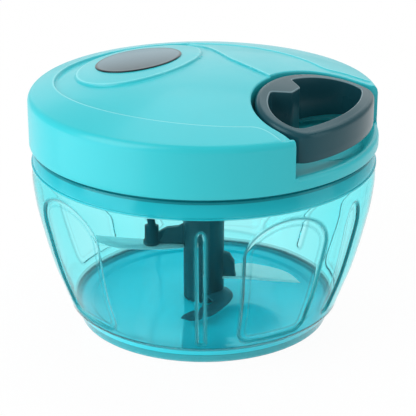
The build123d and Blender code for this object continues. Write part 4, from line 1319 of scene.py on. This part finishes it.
class CHOPPER_OT_lid(bpy.types.Operator):
    """Builds the lid's moulded shell, its badge, base plate and seal"""

    bl_idname = "chopper.lid"
    bl_label = "Lid"

    def execute(self, context):
        look = context.scene.chopper_look
        # pale colour for the painted highlight along the dome's step edges
        blue = moulded(
            "lid_plastic", look.lid_colour, 0.34, grain=1100.0, depth=0.05, spread=0.04, coat=0.16,
            shine=0.34, painted_highlight_colour=(0.34, 0.84, 0.88))
        solid("lid_shell", lid_shell(look), blue, "lid", ("lid_cover",), smooth=40.0)
        spots = meshed("boss_spots", row(boss_ring_r * around(np.radians(boss_turns)), 0), [])
        grown("lid_bosses", boss_tree(blue), blue, "lid", base=spots)
        grey = painted_badge_sheen("badge_lacquer", look.badge_colour)
        solid("badge_plate", badge_plate(), grey, "lid", ("badge",), smooth=50.0)
        teal = moulded(
            "skirt_plastic", look.skirt_colour, 0.25, grain=700.0, depth=0.03, spread=0.05, coat=0.3)
        polished("lid_base", teal, "lid")
        rubber = moulded("seal_rubber", look.seal_colour, 0.6, grain=1600.0, depth=0.2, spread=0.12)
        polished("seal_ring", rubber, "seal")
        return {"FINISHED"}


class CHOPPER_OT_bowl(bpy.types.Operator):
    """Builds the clear bowl with its grips, foot and bayonet ramps"""

    bl_idname = "chopper.bowl"
    bl_label = "Bowl"

    def execute(self, context):
        look = context.scene.chopper_look
        clear = clear_plastic("bowl_clear", look.bowl_tint, look.tint_density, look.skirt_colour)
        solid("bowl_shell", bowl_shell(look), clear, "bowl", ("bowl",), smooth=50.0)
        solid("bowl_ramps", ramp_wedges(), clear, "bowl", (), smooth=40.0)
        polished("pivot_pin", axle_steel(look), "bowl")
        return {"FINISHED"}


class CHOPPER_OT_rotor(bpy.types.Operator):
    """Builds the hub and its three ground blades"""

    bl_idname = "chopper.rotor"
    bl_label = "Rotor"

    def execute(self, context):
        look = context.scene.chopper_look
        slate = moulded("slate_plastic", look.slate_colour, 0.36, depth=0.07, spread=0.10)
        polished("blade_shaft", slate, "rotor")
        bright = ground_steel("blade_steel", look.steel_colour, 0.30)
        dark = ground_steel("blade_dark", shaded(look.slate_colour, 2.2), 0.34)
        for name, blade in blades.items():
            shape = blade_solid(blade, node_box(name)[0][2], look.edge_grind / MM)
            finish = dark if name == "blade_lower" else bright
            solid(name + "_ground", shape, finish, "rotor", (name,), smooth=24.0)
        return {"FINISHED"}


class CHOPPER_OT_handle(bpy.types.Operator):
    """Builds the pull handle with the tab that holds the cord"""

    bl_idname = "chopper.handle"
    bl_label = "Handle"

    def execute(self, context):
        look = context.scene.chopper_look
        # lighter slate for the painted highlight along the hole's rim
        slate = moulded(
            "handle_plastic", look.slate_colour, 0.29, grain=1300.0, spread=0.08, coat=0.08,
            painted_highlight_colour=(0.24, 0.36, 0.40), tone=(0.55, 0.92, 1.0))
        solid("handle_ring", handle_ring(), slate, "handle", ("handle",), smooth=40.0)
        return {"FINISHED"}


class CHOPPER_OT_cord(bpy.types.Operator):
    """Builds the pull cord, its knot and its turns on the spool"""

    bl_idname = "chopper.cord"
    bl_label = "Cord"

    def execute(self, context):
        yarn = braided("cord_yarn", (0.62, 0.66, 0.66))
        start = node_box("cord_feed")[0][:2] + feed_start
        bend = curve_through([start, *feed_bend, (eyelet_x, 0)], 10)[:-1]
        knot_x = node_box("cord_knot")[0][0] + knot_bite
        stretch = [(x, 0) for x in np.linspace(eyelet_x, knot_x, cord_points)]
        cord = tube(row(np.vstack([bend, stretch]), cord_z), cord_sides, "pull_cord_braid", yarn)
        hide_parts("cord_feed", "pull_cord")
        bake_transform(cord)
        polished("cord_knot", yarn, "handle")
        grown("cord_turns", winding_tree(yarn), yarn, "spool", ("cord_winding",))
        return {"FINISHED"}


class CHOPPER_OT_drive(bpy.types.Operator):
    """Finishes the spool, spring, clutch and bearings inside the lid"""

    bl_idname = "chopper.drive"
    bl_label = "Drive"

    def execute(self, context):
        look = context.scene.chopper_look
        blued = ground_steel("spring_blued", shaded(look.steel_colour, 0.45), 0.3)
        tough = moulded(
            "spool_plastic", shaded(look.slate_colour, 4.0), 0.45, grain=800.0, depth=0.08, spread=0.1)
        pale = moulded("slide_plastic", (0.66, 0.68, 0.64), 0.4, grain=800.0, depth=0.05, spread=0.05)
        for body, finish, nodes in (
            ("lid", axle_steel(look), ("drive_axle", "axle_washer", "axle_screw", "lid_screws")),
            ("lid", blued, ("recoil_spring",)),
            ("spool", tough, ("cord_spool", "spring_cover")),
            ("drive", tough, ("drive_coupling",)),
            ("lid", pale, ("spring_arbor", "drive_bush", "cord_eyelet")),
            ("pawl_a", pale, ("pawl_a",)),
            ("pawl_b", pale, ("pawl_b",)),
        ):
            for node in nodes:
                polished(node, finish, body)
        return {"FINISHED"}


steps = (
    CHOPPER_OT_stage, CHOPPER_OT_lid, CHOPPER_OT_bowl, CHOPPER_OT_rotor, CHOPPER_OT_handle, CHOPPER_OT_cord,
    CHOPPER_OT_drive,
)


class CHOPPER_PT_panel(bpy.types.Panel):
    """Lists the build's steps and its sizes in the sidebar"""

    bl_idname = "CHOPPER_PT_panel"
    bl_label = "Chopper"
    bl_space_type = "VIEW_3D"
    bl_region_type = "UI"
    bl_category = "Chopper"

    def draw(self, context):
        for step in steps:
            self.layout.operator(step.bl_idname)
        for key in ChopperLook.__annotations__:
            self.layout.prop(context.scene.chopper_look, key)


def register():
    for kind in (ChopperLook, *steps, CHOPPER_PT_panel):
        bpy.utils.register_class(kind)
    bpy.types.Scene.chopper_look = bpy.props.PointerProperty(type=ChopperLook)


def unregister():
    del bpy.types.Scene.chopper_look
    for kind in (CHOPPER_PT_panel, *reversed(steps), ChopperLook):
        bpy.utils.unregister_class(kind)


def main():
    """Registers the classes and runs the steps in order."""
    register()
    for step in steps:
        group, name = step.bl_idname.split(".")
        getattr(getattr(bpy.ops, group), name)()


if __name__ == "__main__":
    main()
